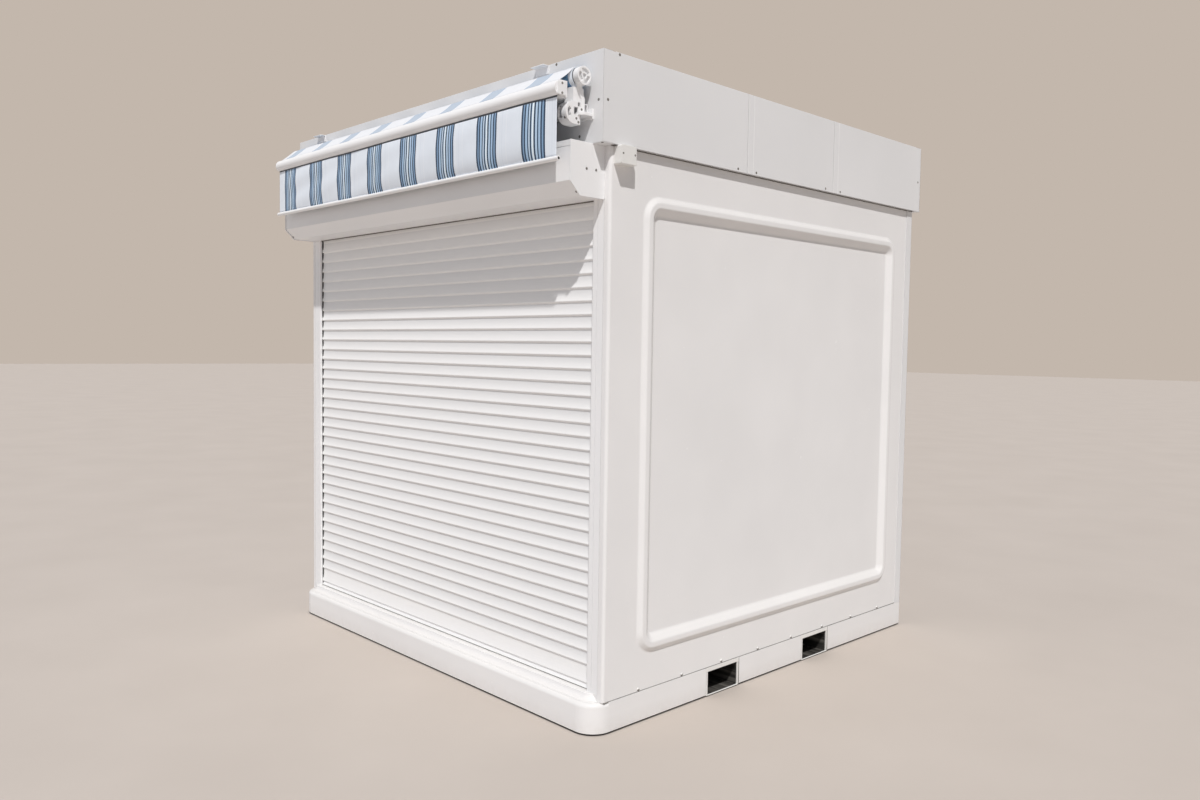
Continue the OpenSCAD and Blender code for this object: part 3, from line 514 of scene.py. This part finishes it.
# Brush seals: black polypropylene pile in the front lip of each guide's slot, and a longer
# row that fills the hollows of the slats. They wipe the curtain and stop its rattle, and show
# as dark dashes beside the slats, broken where a slat's nose presses the pile back.
SEAL_STEP = 0.006
SEAL_IN = 0.004
SEAL_DEEP = 0.0018
SEAL_WIDE = 0.003
SEAL_SHORT = 0.0006
PILE_OUT = 0.005
PILE_WIDE = 0.006
PILE_BACK = 0.0022
PILE_DEEP = 0.0022
TUFT_FILL = 0.92
TUFT_LEAN = 0.0004
TUFT_TURN = 2.4
BLOCK_FACES = ((0, 1, 3, 2), (4, 6, 7, 5), (0, 4, 5, 1), (2, 3, 7, 6), (0, 2, 6, 4), (1, 5, 7, 3))
pile, tree, shader, place = new_material("polypropylene_pile")
tuft = add(tree, "ShaderNodeTexNoise", {"Vector": place, "Scale": per_mm(4), "Detail": 3.0})
black = add(tree, "ShaderNodeValToRGB", {"Fac": tuft.outputs["Fac"]})
black.color_ramp.elements[0].color = linear("#1b1b1c")
black.color_ramp.elements[1].color = linear("#3c3b3b")
tree.links.new(black.outputs["Color"], shader.inputs["Base Color"])
shader.inputs["Roughness"].default_value = 0.85
guide_low, guide_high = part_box("shutter_guide_right")
curtain_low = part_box("shutter_curtain")[0]


def brushes(made):
    tufts = int((guide_high[2] - guide_low[2]) / SEAL_STEP)
    for side in (-1, 1):
        for i in range(tufts):
            low = guide_low[2] + i * SEAL_STEP
            lean = TUFT_LEAN * math.sin(i * TUFT_TURN)
            for inner, wide, front, deep in (
                    (SEAL_IN, SEAL_WIDE, -SEAL_DEEP, SEAL_DEEP + lean - SEAL_SHORT),
                    (-PILE_OUT, PILE_WIDE, PILE_BACK + lean, PILE_DEEP)):
                corner = Vector((side * (guide_low[0] + inner), curtain_low[1] + front, low))
                size = Vector((side * wide, deep, SEAL_STEP * TUFT_FILL))
                corners = [made.verts.new(corner + Vector((size.x * a, size.y * b, size.z * c)))
                           for a in (0, 1) for b in (0, 1) for c in (0, 1)]
                for face in BLOCK_FACES:
                    made.faces.new([corners[k] for k in face])


mesh_piece("guide_brushes", brushes, pile, smooth=False)


# Lintel strip: a black rubber strip under the box's edge, against the curtain's face. It is
# painted shade for the shaded gap there, so that a dark line runs over the top slat from guide to
# guide.
LINTEL_DEEP = 0.008
LINTEL_HIGH = 0.003


def between_guides(made, section, at_y, at_z):
    """Carries a section across the opening from guide to guide."""
    swept(made, section, (-guide_low[0], at_y, at_z), (guide_low[0], at_y, at_z), (0, 0, 1))


def lintel(made):
    between_guides(made, oblong(LINTEL_DEEP, -LINTEL_HIGH), curtain_low[1], box_low[2])


mesh_piece("lintel_shade_strip", lintel, rubber, smooth=False)


# Shutter curtain and bottom bar: roll-formed aluminium slats hooked into each other over an
# extruded bar. The strip was coil-coated with white enamel before it was formed.
SLAT_PITCH = 0.0515
# Coil enamel is smoother and a shade brighter than powder coat, with faint rolling lines.
# Each slat is painted darker and a little cooler towards its top, in the hollow under the joint:
# painted shade.
slat_enamel, tree, shader, place = new_material("coil_enamel_on_slats")
rolled = add(tree, "ShaderNodeMapping", {"Vector": place, "Scale": (0.02, 1.0, 1.0)})
lines = add(tree, "ShaderNodeTexNoise", {
    "Vector": rolled.outputs["Vector"], "Scale": per_mm(6), "Detail": 3.0})
tint = add(tree, "ShaderNodeValToRGB", {"Fac": lines.outputs["Fac"]})
tint.color_ramp.elements[0].color = linear("#f4f4f4")
tint.color_ramp.elements[1].color = linear("#f9f9f9")
slat_up = add(tree, "ShaderNodeSeparateXYZ", {"Vector": place})
from_bar = add(tree, "ShaderNodeMath", {
    0: slat_up.outputs["Z"], 1: curtain_low[2]}, operation="SUBTRACT")
in_slats = add(tree, "ShaderNodeMath", {
    0: from_bar.outputs["Value"], 1: SLAT_PITCH}, operation="DIVIDE")
up_slat = add(tree, "ShaderNodeMath", {0: in_slats.outputs["Value"]}, operation="FRACT")
hollow = add(tree, "ShaderNodeMapRange", {
    "Value": up_slat.outputs["Value"], "From Min": 0.2, "From Max": 1.0,
    "To Min": 0.0, "To Max": 0.3})
over_bar = add(tree, "ShaderNodeMath", {
    0: from_bar.outputs["Value"], 1: 0.0}, operation="GREATER_THAN")
# Painted shade: darkens the upper part of each slat, above the bottom bar.
slat_top_shade = add(tree, "ShaderNodeMath", {
    0: hollow.outputs["Result"], 1: over_bar.outputs["Value"]}, operation="MULTIPLY")
slat_shaded = add(tree, "ShaderNodeMix", {
    "Factor": slat_top_shade.outputs["Value"], 6: tint.outputs["Color"],
    7: linear("#b9bdc4")}, data_type="RGBA")
satin = add(tree, "ShaderNodeMapRange", {
    "Value": lines.outputs["Fac"], "To Min": 0.28, "To Max": 0.38})
bump = add(tree, "ShaderNodeBump", {
    "Height": lines.outputs["Fac"], "Strength": 0.04, "Distance": 0.001})
tree.links.new(slat_shaded.outputs[2], shader.inputs["Base Color"])
tree.links.new(satin.outputs["Result"], shader.inputs["Roughness"])
tree.links.new(bump.outputs["Normal"], shader.inputs["Normal"])
dress(slat_enamel, "shutter_curtain", "shutter_bottom_bar")


# Bottom bar foot: a strip of rubber of the same kind, pressed into the gap before the
# bar's keel, so that the shutter closes softly on the sill.
FOOT_BACK = 0.004
FOOT_DEEP = 0.004
FOOT_HIGH = 0.0034
bar_foot_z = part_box("shutter_bottom_bar")[0][2]


def bar_foot(made):
    between_guides(made, oblong(-FOOT_DEEP, FOOT_HIGH), curtain_low[1] + FOOT_BACK, bar_foot_z)


mesh_piece("bottom_bar_foot", bar_foot, rubber, smooth=False)


# Awning metalwork: extruded rails and arms and cast brackets, all in white powder coat.
# The brackets are bolted through the fascia and carry the bar, the roller and the arms.
dress(powder_coat, "torsion_bar", "wall_bracket_right", "wall_bracket_left",
      "roller_bracket_right", "roller_bracket_left", "front_rail", "rail_cap_right",
      "rail_cap_left", "valance_bar", "shoulder_right", "shoulder_left", "rear_arm_right",
      "rear_arm_left", "front_arm_right", "front_arm_left", "awning_cleats")


# Awning bolts: stainless button heads, two in each shoulder casting, one in each roller
# bracket and one under each end of the rail, and two screws in each of the rail's caps.
SHOULDER_BOLTS = ((-1.203, 2.2795), (-1.193, 2.2675))
BRACKET_IN = 0.006
BRACKET_BOLT = (-1.179, 2.3145)
RAIL_BOLT = (1.085, -1.2472, 2.2768)
RAIL_BOLT_WAY = (0, -0.83, -0.555)
CAP_SCREW_BACK = 0.002
CAP_SCREW_UP = 0.017
BOLT_HEAD = 0.0045
BOLT_RISE = 0.0018
shoulder_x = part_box("shoulder_right")[1][0]
bracket_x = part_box("roller_bracket_right")[0][0] + BRACKET_IN
rail_low, rail_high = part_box("front_rail")
rail_mid = (Vector(rail_low) + Vector(rail_high)) / 2
cap_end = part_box("rail_cap_right")[1][0]
awning_places = []
for side in (-1, 1):
    out = (side, 0, 0)
    for bolt in SHOULDER_BOLTS:
        awning_places.append(((side * shoulder_x, *bolt), out))
    awning_places.append(((side * bracket_x, *BRACKET_BOLT), out))
    awning_places.append(((side * RAIL_BOLT[0], *RAIL_BOLT[1:]), RAIL_BOLT_WAY))
    for rise in (-CAP_SCREW_UP, CAP_SCREW_UP):
        point = (side * cap_end, rail_mid.y + CAP_SCREW_BACK, rail_mid.z + rise)
        awning_places.append((point, out))
mesh_piece("awning_bolts", screw_heads(awning_places, BOLT_HEAD, BOLT_RISE), bare_screw)


# Hem bar plugs: turned black polyethylene, pressed into the ends of the bar in the valance
# and into the drain holes under the fascia's front corners.
# The plastic is waxy and never quite black, with paler scuffs.
DRAIN_IN = 0.012
DRAIN_BACK = 0.01
PLUG_HEAD = 0.005
PLUG_RISE = 0.0012
plug_plastic, tree, shader, place = new_material("polyethylene_black")
scuff = add(tree, "ShaderNodeTexNoise", {"Vector": place, "Scale": per_mm(4), "Detail": 2.0})
black = add(tree, "ShaderNodeValToRGB", {"Fac": scuff.outputs["Fac"]})
black.color_ramp.elements[0].color = linear("#222223")
black.color_ramp.elements[1].color = linear("#3a3a3b")
tree.links.new(black.outputs["Color"], shader.inputs["Base Color"])
shader.inputs["Roughness"].default_value = 0.55
bar_low, bar_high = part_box("valance_bar")
bar_mid = (Vector(bar_low) + Vector(bar_high)) / 2
plug_places = [((side * bar_high[0], bar_mid.y, bar_mid.z), (side, 0, 0)) for side in (-1, 1)]
plug_places += [((side * (fascia_x - DRAIN_IN), fascia_y0 + DRAIN_BACK, fascia_z), (0, 0, -1))
                for side in (-1, 1)]
mesh_piece("hem_plugs", screw_heads(plug_places, PLUG_HEAD, PLUG_RISE), plug_plastic)


# Valance and awning cloth: solution-dyed acrylic canvas, woven with blue stripe groups on
# a bluish white ground. The cloth leaves the roller, is held in the front rail's groove,
# and ends in a valance with a bar sewn into its hem.
STRIPE_PITCH_MM = 275.7
STRIPES_MM = [
    (0.0, "#e6edf6"), (76.0, "#f1f8ff"), (78.5, "#223c59"), (87.5, "#83a3c4"), (94.5, "#223c59"),
    (102.0, "#a8c5e1"), (113.0, "#2f4b69"), (119.5, "#cfe3f5"), (125.5, "#223c59"),
    (133.0, "#83a3c4"), (135.5, "#eaf7ff"), (145.0, "#223c59"), (153.5, "#bcd5ec"),
    (163.5, "#2f4b69"), (169.5, "#a8c5e1"), (179.5, "#223c59"), (187.0, "#83a3c4"),
    (194.0, "#223c59"), (202.5, "#f1f8ff"), (205.0, "#e6edf6"), (216.0, "#edf2f9"),
    (219.0, "#e6edf6"), (236.0, "#dfe7f1"), (240.0, "#e6edf6"), (262.0, "#edf2f9"),
    (265.0, "#e6edf6"),
]
# On the stretch, each stripe group is painted as one narrow pale band: a painted glare of the sun
# on the cloth.
GLARE_BANDS_MM = [
    (0.0, "#e4e5e8"), (62.0, "#9fb2c8"), (67.0, "#b3bfcd"), (145.0, "#9fb2c8"), (150.0, "#e4e5e8"),
]
# Edge band of the wound cloth, deep blue, as distances from the hut's middle.
EDGE_BAND_M = (1.016, 1.07)


def canvas(name, stripes_mm, edge_band, rail_shade_above):
    """Striped canvas, with deep blue outer bands where asked for and a dark band of painted shade
    above a height.
    """
    # Dyed spun yarn is matt and a little fuzzy, and drifts in tone over the cloth.
    made, tree, shader, place = new_material(name)
    across = add(tree, "ShaderNodeSeparateXYZ", {"Vector": place})
    in_pitches = add(tree, "ShaderNodeMath", {
        0: across.outputs["X"], 1: per_mm(STRIPE_PITCH_MM)}, operation="MULTIPLY")
    phase = add(tree, "ShaderNodeMath", {0: in_pitches.outputs["Value"]}, operation="FRACT")
    stripes = add(tree, "ShaderNodeValToRGB", {"Fac": phase.outputs["Value"]})
    ramp = stripes.color_ramp
    ramp.interpolation = "CONSTANT"
    for i, (at_mm, colour) in enumerate(stripes_mm):
        stop = ramp.elements[i] if i < 2 else ramp.elements.new(at_mm / STRIPE_PITCH_MM)
        stop.position = at_mm / STRIPE_PITCH_MM
        stop.color = linear(colour)
    reach = add(tree, "ShaderNodeMath", {0: across.outputs["X"]}, operation="ABSOLUTE")
    from_band = add(tree, "ShaderNodeMath", {
        0: reach.outputs["Value"], 1: sum(EDGE_BAND_M) / 2}, operation="SUBTRACT")
    off_band = add(tree, "ShaderNodeMath", {0: from_band.outputs["Value"]}, operation="ABSOLUTE")
    in_band = add(tree, "ShaderNodeMath", {
        0: off_band.outputs["Value"],
        1: (EDGE_BAND_M[1] - EDGE_BAND_M[0]) / 2}, operation="LESS_THAN")
    banded = add(tree, "ShaderNodeMath", {
        0: in_band.outputs["Value"], 1: edge_band}, operation="MULTIPLY")
    coloured = add(tree, "ShaderNodeMix", {
        "Factor": banded.outputs["Value"], 6: stripes.outputs["Color"],
        7: linear("#6f9cc4")}, data_type="RGBA")
    # Painted shade: a dark band at the top of the valance, where the rail's lip shades it.
    under_rail_lip = add(tree, "ShaderNodeMath", {
        0: across.outputs["Z"], 1: rail_shade_above}, operation="GREATER_THAN")
    rail_shaded = add(tree, "ShaderNodeMix", {
        "Factor": under_rail_lip.outputs["Value"], 6: coloured.outputs[2],
        7: linear("#4a4f58")}, data_type="RGBA")
    # Warp and weft threads are about half a millimetre apart, drawn at three millimetres to show.
    weave = add(tree, "ShaderNodeTexWave", {
        "Vector": place, "Scale": wave_per_mm(3), "Distortion": 0.4}, bands_direction="X")
    weft = add(tree, "ShaderNodeTexWave", {
        "Vector": place, "Scale": wave_per_mm(3), "Distortion": 0.4}, bands_direction="Z")
    threads = add(tree, "ShaderNodeMath", {
        0: weave.outputs["Fac"], 1: weft.outputs["Fac"]}, operation="MULTIPLY")
    slub = add(tree, "ShaderNodeTexNoise", {"Vector": place, "Scale": per_mm(40), "Detail": 4.0})
    value = add(tree, "ShaderNodeMapRange", {
        "Value": slub.outputs["Fac"], "To Min": 0.96, "To Max": 1.03})
    worn = add(tree, "ShaderNodeHueSaturation", {
        "Color": rail_shaded.outputs[2], "Value": value.outputs["Result"]})
    bump = add(tree, "ShaderNodeBump", {
        "Height": threads.outputs["Value"], "Strength": 0.12, "Distance": 0.0004})
    tree.links.new(worn.outputs["Color"], shader.inputs["Base Color"])
    tree.links.new(bump.outputs["Normal"], shader.inputs["Normal"])
    shader.inputs["Roughness"].default_value = 0.85
    shader.inputs["Sheen Weight"].default_value = 0.15
    return made


valance_low, valance_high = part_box("valance")
cloth_low, cloth_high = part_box("awning_cloth")
CLOTH_THICK = 0.0012
CLOTH_COLUMNS = 420
VALANCE_ROWS = 30
BELLY = 0.016
BELLY_LEFT = 0.3
BELLY_TOP = 0.18
HEM_CURL = 8
END_STRAIGHT = 0.18
RIPPLE = 0.003
RIPPLES_DOWN = 1.6
RIPPLE_TURN = 9.0
WAVES = ((0.0016, 5.1, 0.7), (0.0013, 11.3, 2.0), (0.001, 23, 1.1))
RAIL_SHADE_BELOW = 0.0235


def valance_shape(u, v):
    """Front of the valance, u along X and v down it: full on the right, rippled on the left."""
    x = valance_low[0] + u * (valance_high[0] - valance_low[0])
    z = valance_high[2] - v * (valance_high[2] - valance_low[2])
    fullness = BELLY * (BELLY_LEFT + (1 - BELLY_LEFT) * u)
    belly = fullness * (1 - math.exp(-v / BELLY_TOP)) * (1 - v ** HEM_CURL)
    ripple = RIPPLE * (1 - u) * math.sin(2 * math.pi * RIPPLES_DOWN * v + RIPPLE_TURN * x)
    wave = sum(high * math.sin(x * often + turn) for high, often, turn in WAVES)
    inwards = min(1.0, (valance_high[0] - abs(x)) / END_STRAIGHT)
    ease = inwards * inwards * (3 - 2 * inwards)
    out = (belly + (wave + ripple) * math.sin(math.pi * v)) * ease
    return Vector((x, valance_low[1] - out, z))


def sheet_mesh(shape, columns, rows, thick, outward):
    """Builder for a thin closed sheet: shape(u, v) is its front, outward(u, v) its normal."""
    def build(made):
        front, back = [], []
        for j in range(rows + 1):
            line = [(i / columns, j / rows) for i in range(columns + 1)]
            front.append([made.verts.new(shape(u, v)) for u, v in line])
            back.append([made.verts.new(shape(u, v) - Vector(outward(u, v)) * thick)
                         for u, v in line])
        for layer in (front, back):
            for near, far in zip(layer, layer[1:]):
                for i in range(columns):
                    made.faces.new((near[i], near[i + 1], far[i + 1], far[i]))
        rim = [(0, i) for i in range(columns)] + [(j, columns) for j in range(rows)]
        rim += [(rows, i) for i in range(columns, 0, -1)] + [(j, 0) for j in range(rows, 0, -1)]
        for (j0, i0), (j1, i1) in zip(rim, rim[1:] + rim[:1]):
            made.faces.new((front[j0][i0], front[j1][i1], back[j1][i1], back[j0][i0]))
    return build


valance = mesh_piece("valance_cloth", sheet_mesh(
    valance_shape, CLOTH_COLUMNS, VALANCE_ROWS, CLOTH_THICK, lambda u, v: (0, -1, 0)),
    canvas("acrylic_canvas_woven", STRIPES_MM, 0.0, valance_high[2] - RAIL_SHADE_BELOW))
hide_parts("valance")

CLOTH_ROWS = 10
CLOTH_WAY = (0, -0.6, 0.8)
ROLLER_CLEAR = 0.0006
RAIL_CLEAR = 0.0018
SAG = 0.003
SAG_EVEN = 0.7
SAG_WAVE = (0.3, 7, 0.4)
SAG_BACK = 0.5
SAG_DOWN = 0.6


def cloth_shape(u, v):
    """Upper face of the cloth, from the roller's tangent at v = 0 to the rail at v = 1."""
    x = cloth_low[0] + u * (cloth_high[0] - cloth_low[0])
    top = Vector((0, cloth_high[1], cloth_high[2] - ROLLER_CLEAR))
    low = Vector((0, cloth_low[1], cloth_low[2] + RAIL_CLEAR))
    point = top.lerp(low, v)
    high, often, turn = SAG_WAVE
    dip = SAG * math.sin(math.pi * v) * (SAG_EVEN + high * math.sin(x * often + turn))
    return Vector((x, point.y + dip * SAG_BACK, point.z - dip * SAG_DOWN))


cloth = mesh_piece("awning_cloth_stretch", sheet_mesh(
    cloth_shape, CLOTH_COLUMNS, CLOTH_ROWS, CLOTH_THICK, lambda u, v: CLOTH_WAY),
    canvas("acrylic_canvas_glare_painted", GLARE_BANDS_MM, 0.0, fascia_top))
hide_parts("awning_cloth")


# Wound cloth and its tube: the rest of the canvas, three turns on a steel tube with an axle
# that runs in the roller brackets. The turns show as a spiral at the ends.
roll_low, roll_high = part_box("cloth_roll")
roll_mid = (Vector(roll_low) + Vector(roll_high)) / 2
ROLL_OUTER = (roll_high[2] - roll_low[2]) / 2
ROLL_TURNS = 3
ROLL_STEPS = 48
ROLL_COLUMNS = 40
TURN_STEP = 0.0016
LEAVES_AT = 0.5 * math.pi + 0.6


def roll_way(u, v):
    """Outward direction of the wound cloth at v along its length."""
    angle = LEAVES_AT + 2 * math.pi * ROLL_TURNS * v
    return Vector((0, math.cos(angle), math.sin(angle)))


def roll_shape(u, v):
    """Outer face of the wound cloth, from the outside in."""
    radius = ROLL_OUTER - TURN_STEP * ROLL_TURNS * v
    x = cloth_low[0] + u * (cloth_high[0] - cloth_low[0])
    return Vector((x, roll_mid.y, roll_mid.z)) + roll_way(u, v) * radius


wound = mesh_piece("cloth_wound", sheet_mesh(
    roll_shape, ROLL_COLUMNS, ROLL_TURNS * ROLL_STEPS, CLOTH_THICK, roll_way),
    canvas("acrylic_canvas_wound", STRIPES_MM, 1.0, fascia_top))
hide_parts("cloth_roll")

# Hot-dip zinc sets in flat crystals about a centimetre across, a spangle of two greys.
galvanised, tree, shader, place = new_material("galvanised_steel_tube")
spangle = add(tree, "ShaderNodeTexVoronoi", {"Vector": place, "Scale": per_mm(12)})
zinc = add(tree, "ShaderNodeValToRGB", {"Fac": spangle.outputs["Distance"]})
zinc.color_ramp.elements[0].color = linear("#a3a6a8")
zinc.color_ramp.elements[1].color = linear("#c2c4c5")
tree.links.new(zinc.outputs["Color"], shader.inputs["Base Color"])
shader.inputs["Metallic"].default_value = 1.0
shader.inputs["Roughness"].default_value = 0.42
TUBE_CLEAR = 0.0004
TUBE_SHORT = 0.002
TUBE_RADIUS = ROLL_OUTER - TURN_STEP * ROLL_TURNS - CLOTH_THICK - TUBE_CLEAR
AXLE_RADIUS = 0.012
TUBE_SIDES = 48


def roller(made):
    turns = [2 * math.pi * k / TUBE_SIDES for k in range(TUBE_SIDES)]
    for radius, half in ((TUBE_RADIUS, cloth_high[0] - TUBE_SHORT), (AXLE_RADIUS, roll_high[0])):
        ring = [(math.cos(t) * radius, math.sin(t) * radius) for t in turns]
        swept(made, ring, (-half, roll_mid.y, roll_mid.z), (half, roll_mid.y, roll_mid.z),
              (0, 0, 1))


mesh_piece("roller_tube", roller, galvanised, smooth=False)


# Switch box: a small injection-moulded housing for the shutter's key switch, screwed to
# the right wall under the fascia. Moulded plastic has a fine spark-eroded grain, drawn at
# two millimetres to show.
GRAIN_MM = 2
SWITCH_ROUND = 0.003
SWITCH_SCREW_DOWN = 0.031
SWITCH_SCREW_IN = 0.008
SWITCH_HEAD = 0.004
switch_plastic, tree, shader, place = new_material("moulded_plastic_grained")
grit = add(tree, "ShaderNodeTexNoise", {
    "Vector": place, "Scale": per_mm(GRAIN_MM), "Detail": 3.0})
edge = add(tree, "ShaderNodeBevel", {"Radius": SWITCH_ROUND}, samples=4)
bump = add(tree, "ShaderNodeBump", {
    "Height": grit.outputs["Fac"], "Strength": 0.1, "Distance": 0.001,
    "Normal": edge.outputs["Normal"]})
shade = add(tree, "ShaderNodeValToRGB", {"Fac": grit.outputs["Fac"]})
shade.color_ramp.elements[0].color = linear("#e4e3e0")
shade.color_ramp.elements[1].color = linear("#ecebe9")
tree.links.new(shade.outputs["Color"], shader.inputs["Base Color"])
tree.links.new(bump.outputs["Normal"], shader.inputs["Normal"])
shader.inputs["Roughness"].default_value = 0.5
dress(switch_plastic, "switch_box")
switch_low, switch_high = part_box("switch_box")
switch_places = [((switch_high[0], at_y, switch_high[2] - SWITCH_SCREW_DOWN), (1, 0, 0))
                 for at_y in (switch_low[1] + SWITCH_SCREW_IN, switch_high[1] - SWITCH_SCREW_IN)]
mesh_piece("switch_screws", screw_heads(switch_places, SWITCH_HEAD, FLUSH_RISE), bare_screw)


# Studio: a pale warm floor of matt paint, faintly mottled, one lamp high behind the camera's
# right shoulder and a soft fill from all round, stronger from the left.
# None of it belongs to the hut.
FLOOR_HALF = 60.0
floor_mesh = bpy.data.meshes.new("studio_floor")
floor_mesh.from_pydata(
    [(-FLOOR_HALF, -FLOOR_HALF, 0), (FLOOR_HALF, -FLOOR_HALF, 0), (FLOOR_HALF, FLOOR_HALF, 0),
     (-FLOOR_HALF, FLOOR_HALF, 0)], [], [(0, 1, 2, 3)])
floor = bpy.data.objects.new("studio_floor", floor_mesh)
bpy.context.scene.collection.objects.link(floor)
floor_paint, tree, shader, place = new_material("painted_floor")
mottle = add(tree, "ShaderNodeTexNoise", {"Vector": place, "Scale": per_mm(700), "Detail": 4.0})
tint = add(tree, "ShaderNodeValToRGB", {"Fac": mottle.outputs["Fac"]})
tint.color_ramp.elements[0].color = linear("#b9afa6")
tint.color_ramp.elements[1].color = linear("#c3b9b0")
tree.links.new(tint.outputs["Color"], shader.inputs["Base Color"])
shader.inputs["Roughness"].default_value = 0.8
floor_mesh.materials.append(floor_paint)

FILL = 0.42
FILL_LEFT = 0.6
world = bpy.data.worlds.new("studio")
bpy.context.scene.world = world
world.use_nodes = True
tree = world.node_tree
backdrop = add(tree, "ShaderNodeBackground", {"Color": linear("#c3b7ac"), "Strength": 1.0})
way = add(tree, "ShaderNodeTexCoord")
sideways = add(tree, "ShaderNodeSeparateXYZ", {"Vector": way.outputs["Generated"]})
level = add(tree, "ShaderNodeMath", {
    0: sideways.outputs["X"], 1: -FILL * FILL_LEFT, 2: FILL}, operation="MULTIPLY_ADD")
fill = add(tree, "ShaderNodeBackground", {
    "Color": linear("#ecf3ff"), "Strength": level.outputs["Value"]})
path = add(tree, "ShaderNodeLightPath")
seen = add(tree, "ShaderNodeMath", {
    0: path.outputs["Is Camera Ray"], 1: path.outputs["Is Glossy Ray"]}, operation="MAXIMUM")
seen_through = add(tree, "ShaderNodeMath", {
    0: seen.outputs["Value"], 1: path.outputs["Is Transmission Ray"]}, operation="MAXIMUM")
mixed = add(tree, "ShaderNodeMixShader", {
    "Fac": seen_through.outputs["Value"], 1: fill.outputs["Background"],
    2: backdrop.outputs["Background"]})
tree.links.new(mixed.outputs["Shader"], tree.nodes["World Output"].inputs["Surface"])

LAMP_WAY = Vector((-0.45, 0.38, -0.81))
LAMP_ENERGY = 3.05
LAMP_SPREAD = math.radians(1.2)
lamp = bpy.data.lights.new("key_lamp", "SUN")
lamp.energy = LAMP_ENERGY
lamp.angle = LAMP_SPREAD
lamp.color = linear("#fffdfb")[:3]
key = bpy.data.objects.new("key_lamp", lamp)
key.rotation_euler = LAMP_WAY.to_track_quat("-Z", "Y").to_euler()
bpy.context.scene.collection.objects.link(key)


# Camera: at the photograph's place, solved from the hut's straight edges in a frame of
# 1200 by 800 pixels.
FOCAL_PX = 946.9
FRAME_WIDTH_PX = 1200
SENSOR_MM = 36.0
CAMERA_AT = Vector((3.6475, -3.5133, 1.4616))
YAW, PITCH, ROLL = 0.8058, 0.0554, 0.0149
right = Vector((math.cos(YAW), math.sin(YAW), 0))
ahead = Vector((-math.sin(YAW) * math.cos(PITCH), math.cos(YAW) * math.cos(PITCH),
                -math.sin(PITCH)))
up = right.cross(ahead)
rolled_right = math.cos(ROLL) * right + math.sin(ROLL) * up
rolled_up = -math.sin(ROLL) * right + math.cos(ROLL) * up
lens = bpy.data.cameras.new("camera")
lens.sensor_width = SENSOR_MM
lens.lens = FOCAL_PX / FRAME_WIDTH_PX * SENSOR_MM
camera = bpy.data.objects.new("camera", lens)
turn = Matrix((rolled_right, rolled_up, -ahead)).transposed()
camera.matrix_world = Matrix.Translation(CAMERA_AT) @ turn.to_4x4()
bpy.context.scene.collection.objects.link(camera)
bpy.context.scene.camera = camera
bpy.context.scene.view_settings.view_transform = "Standard"
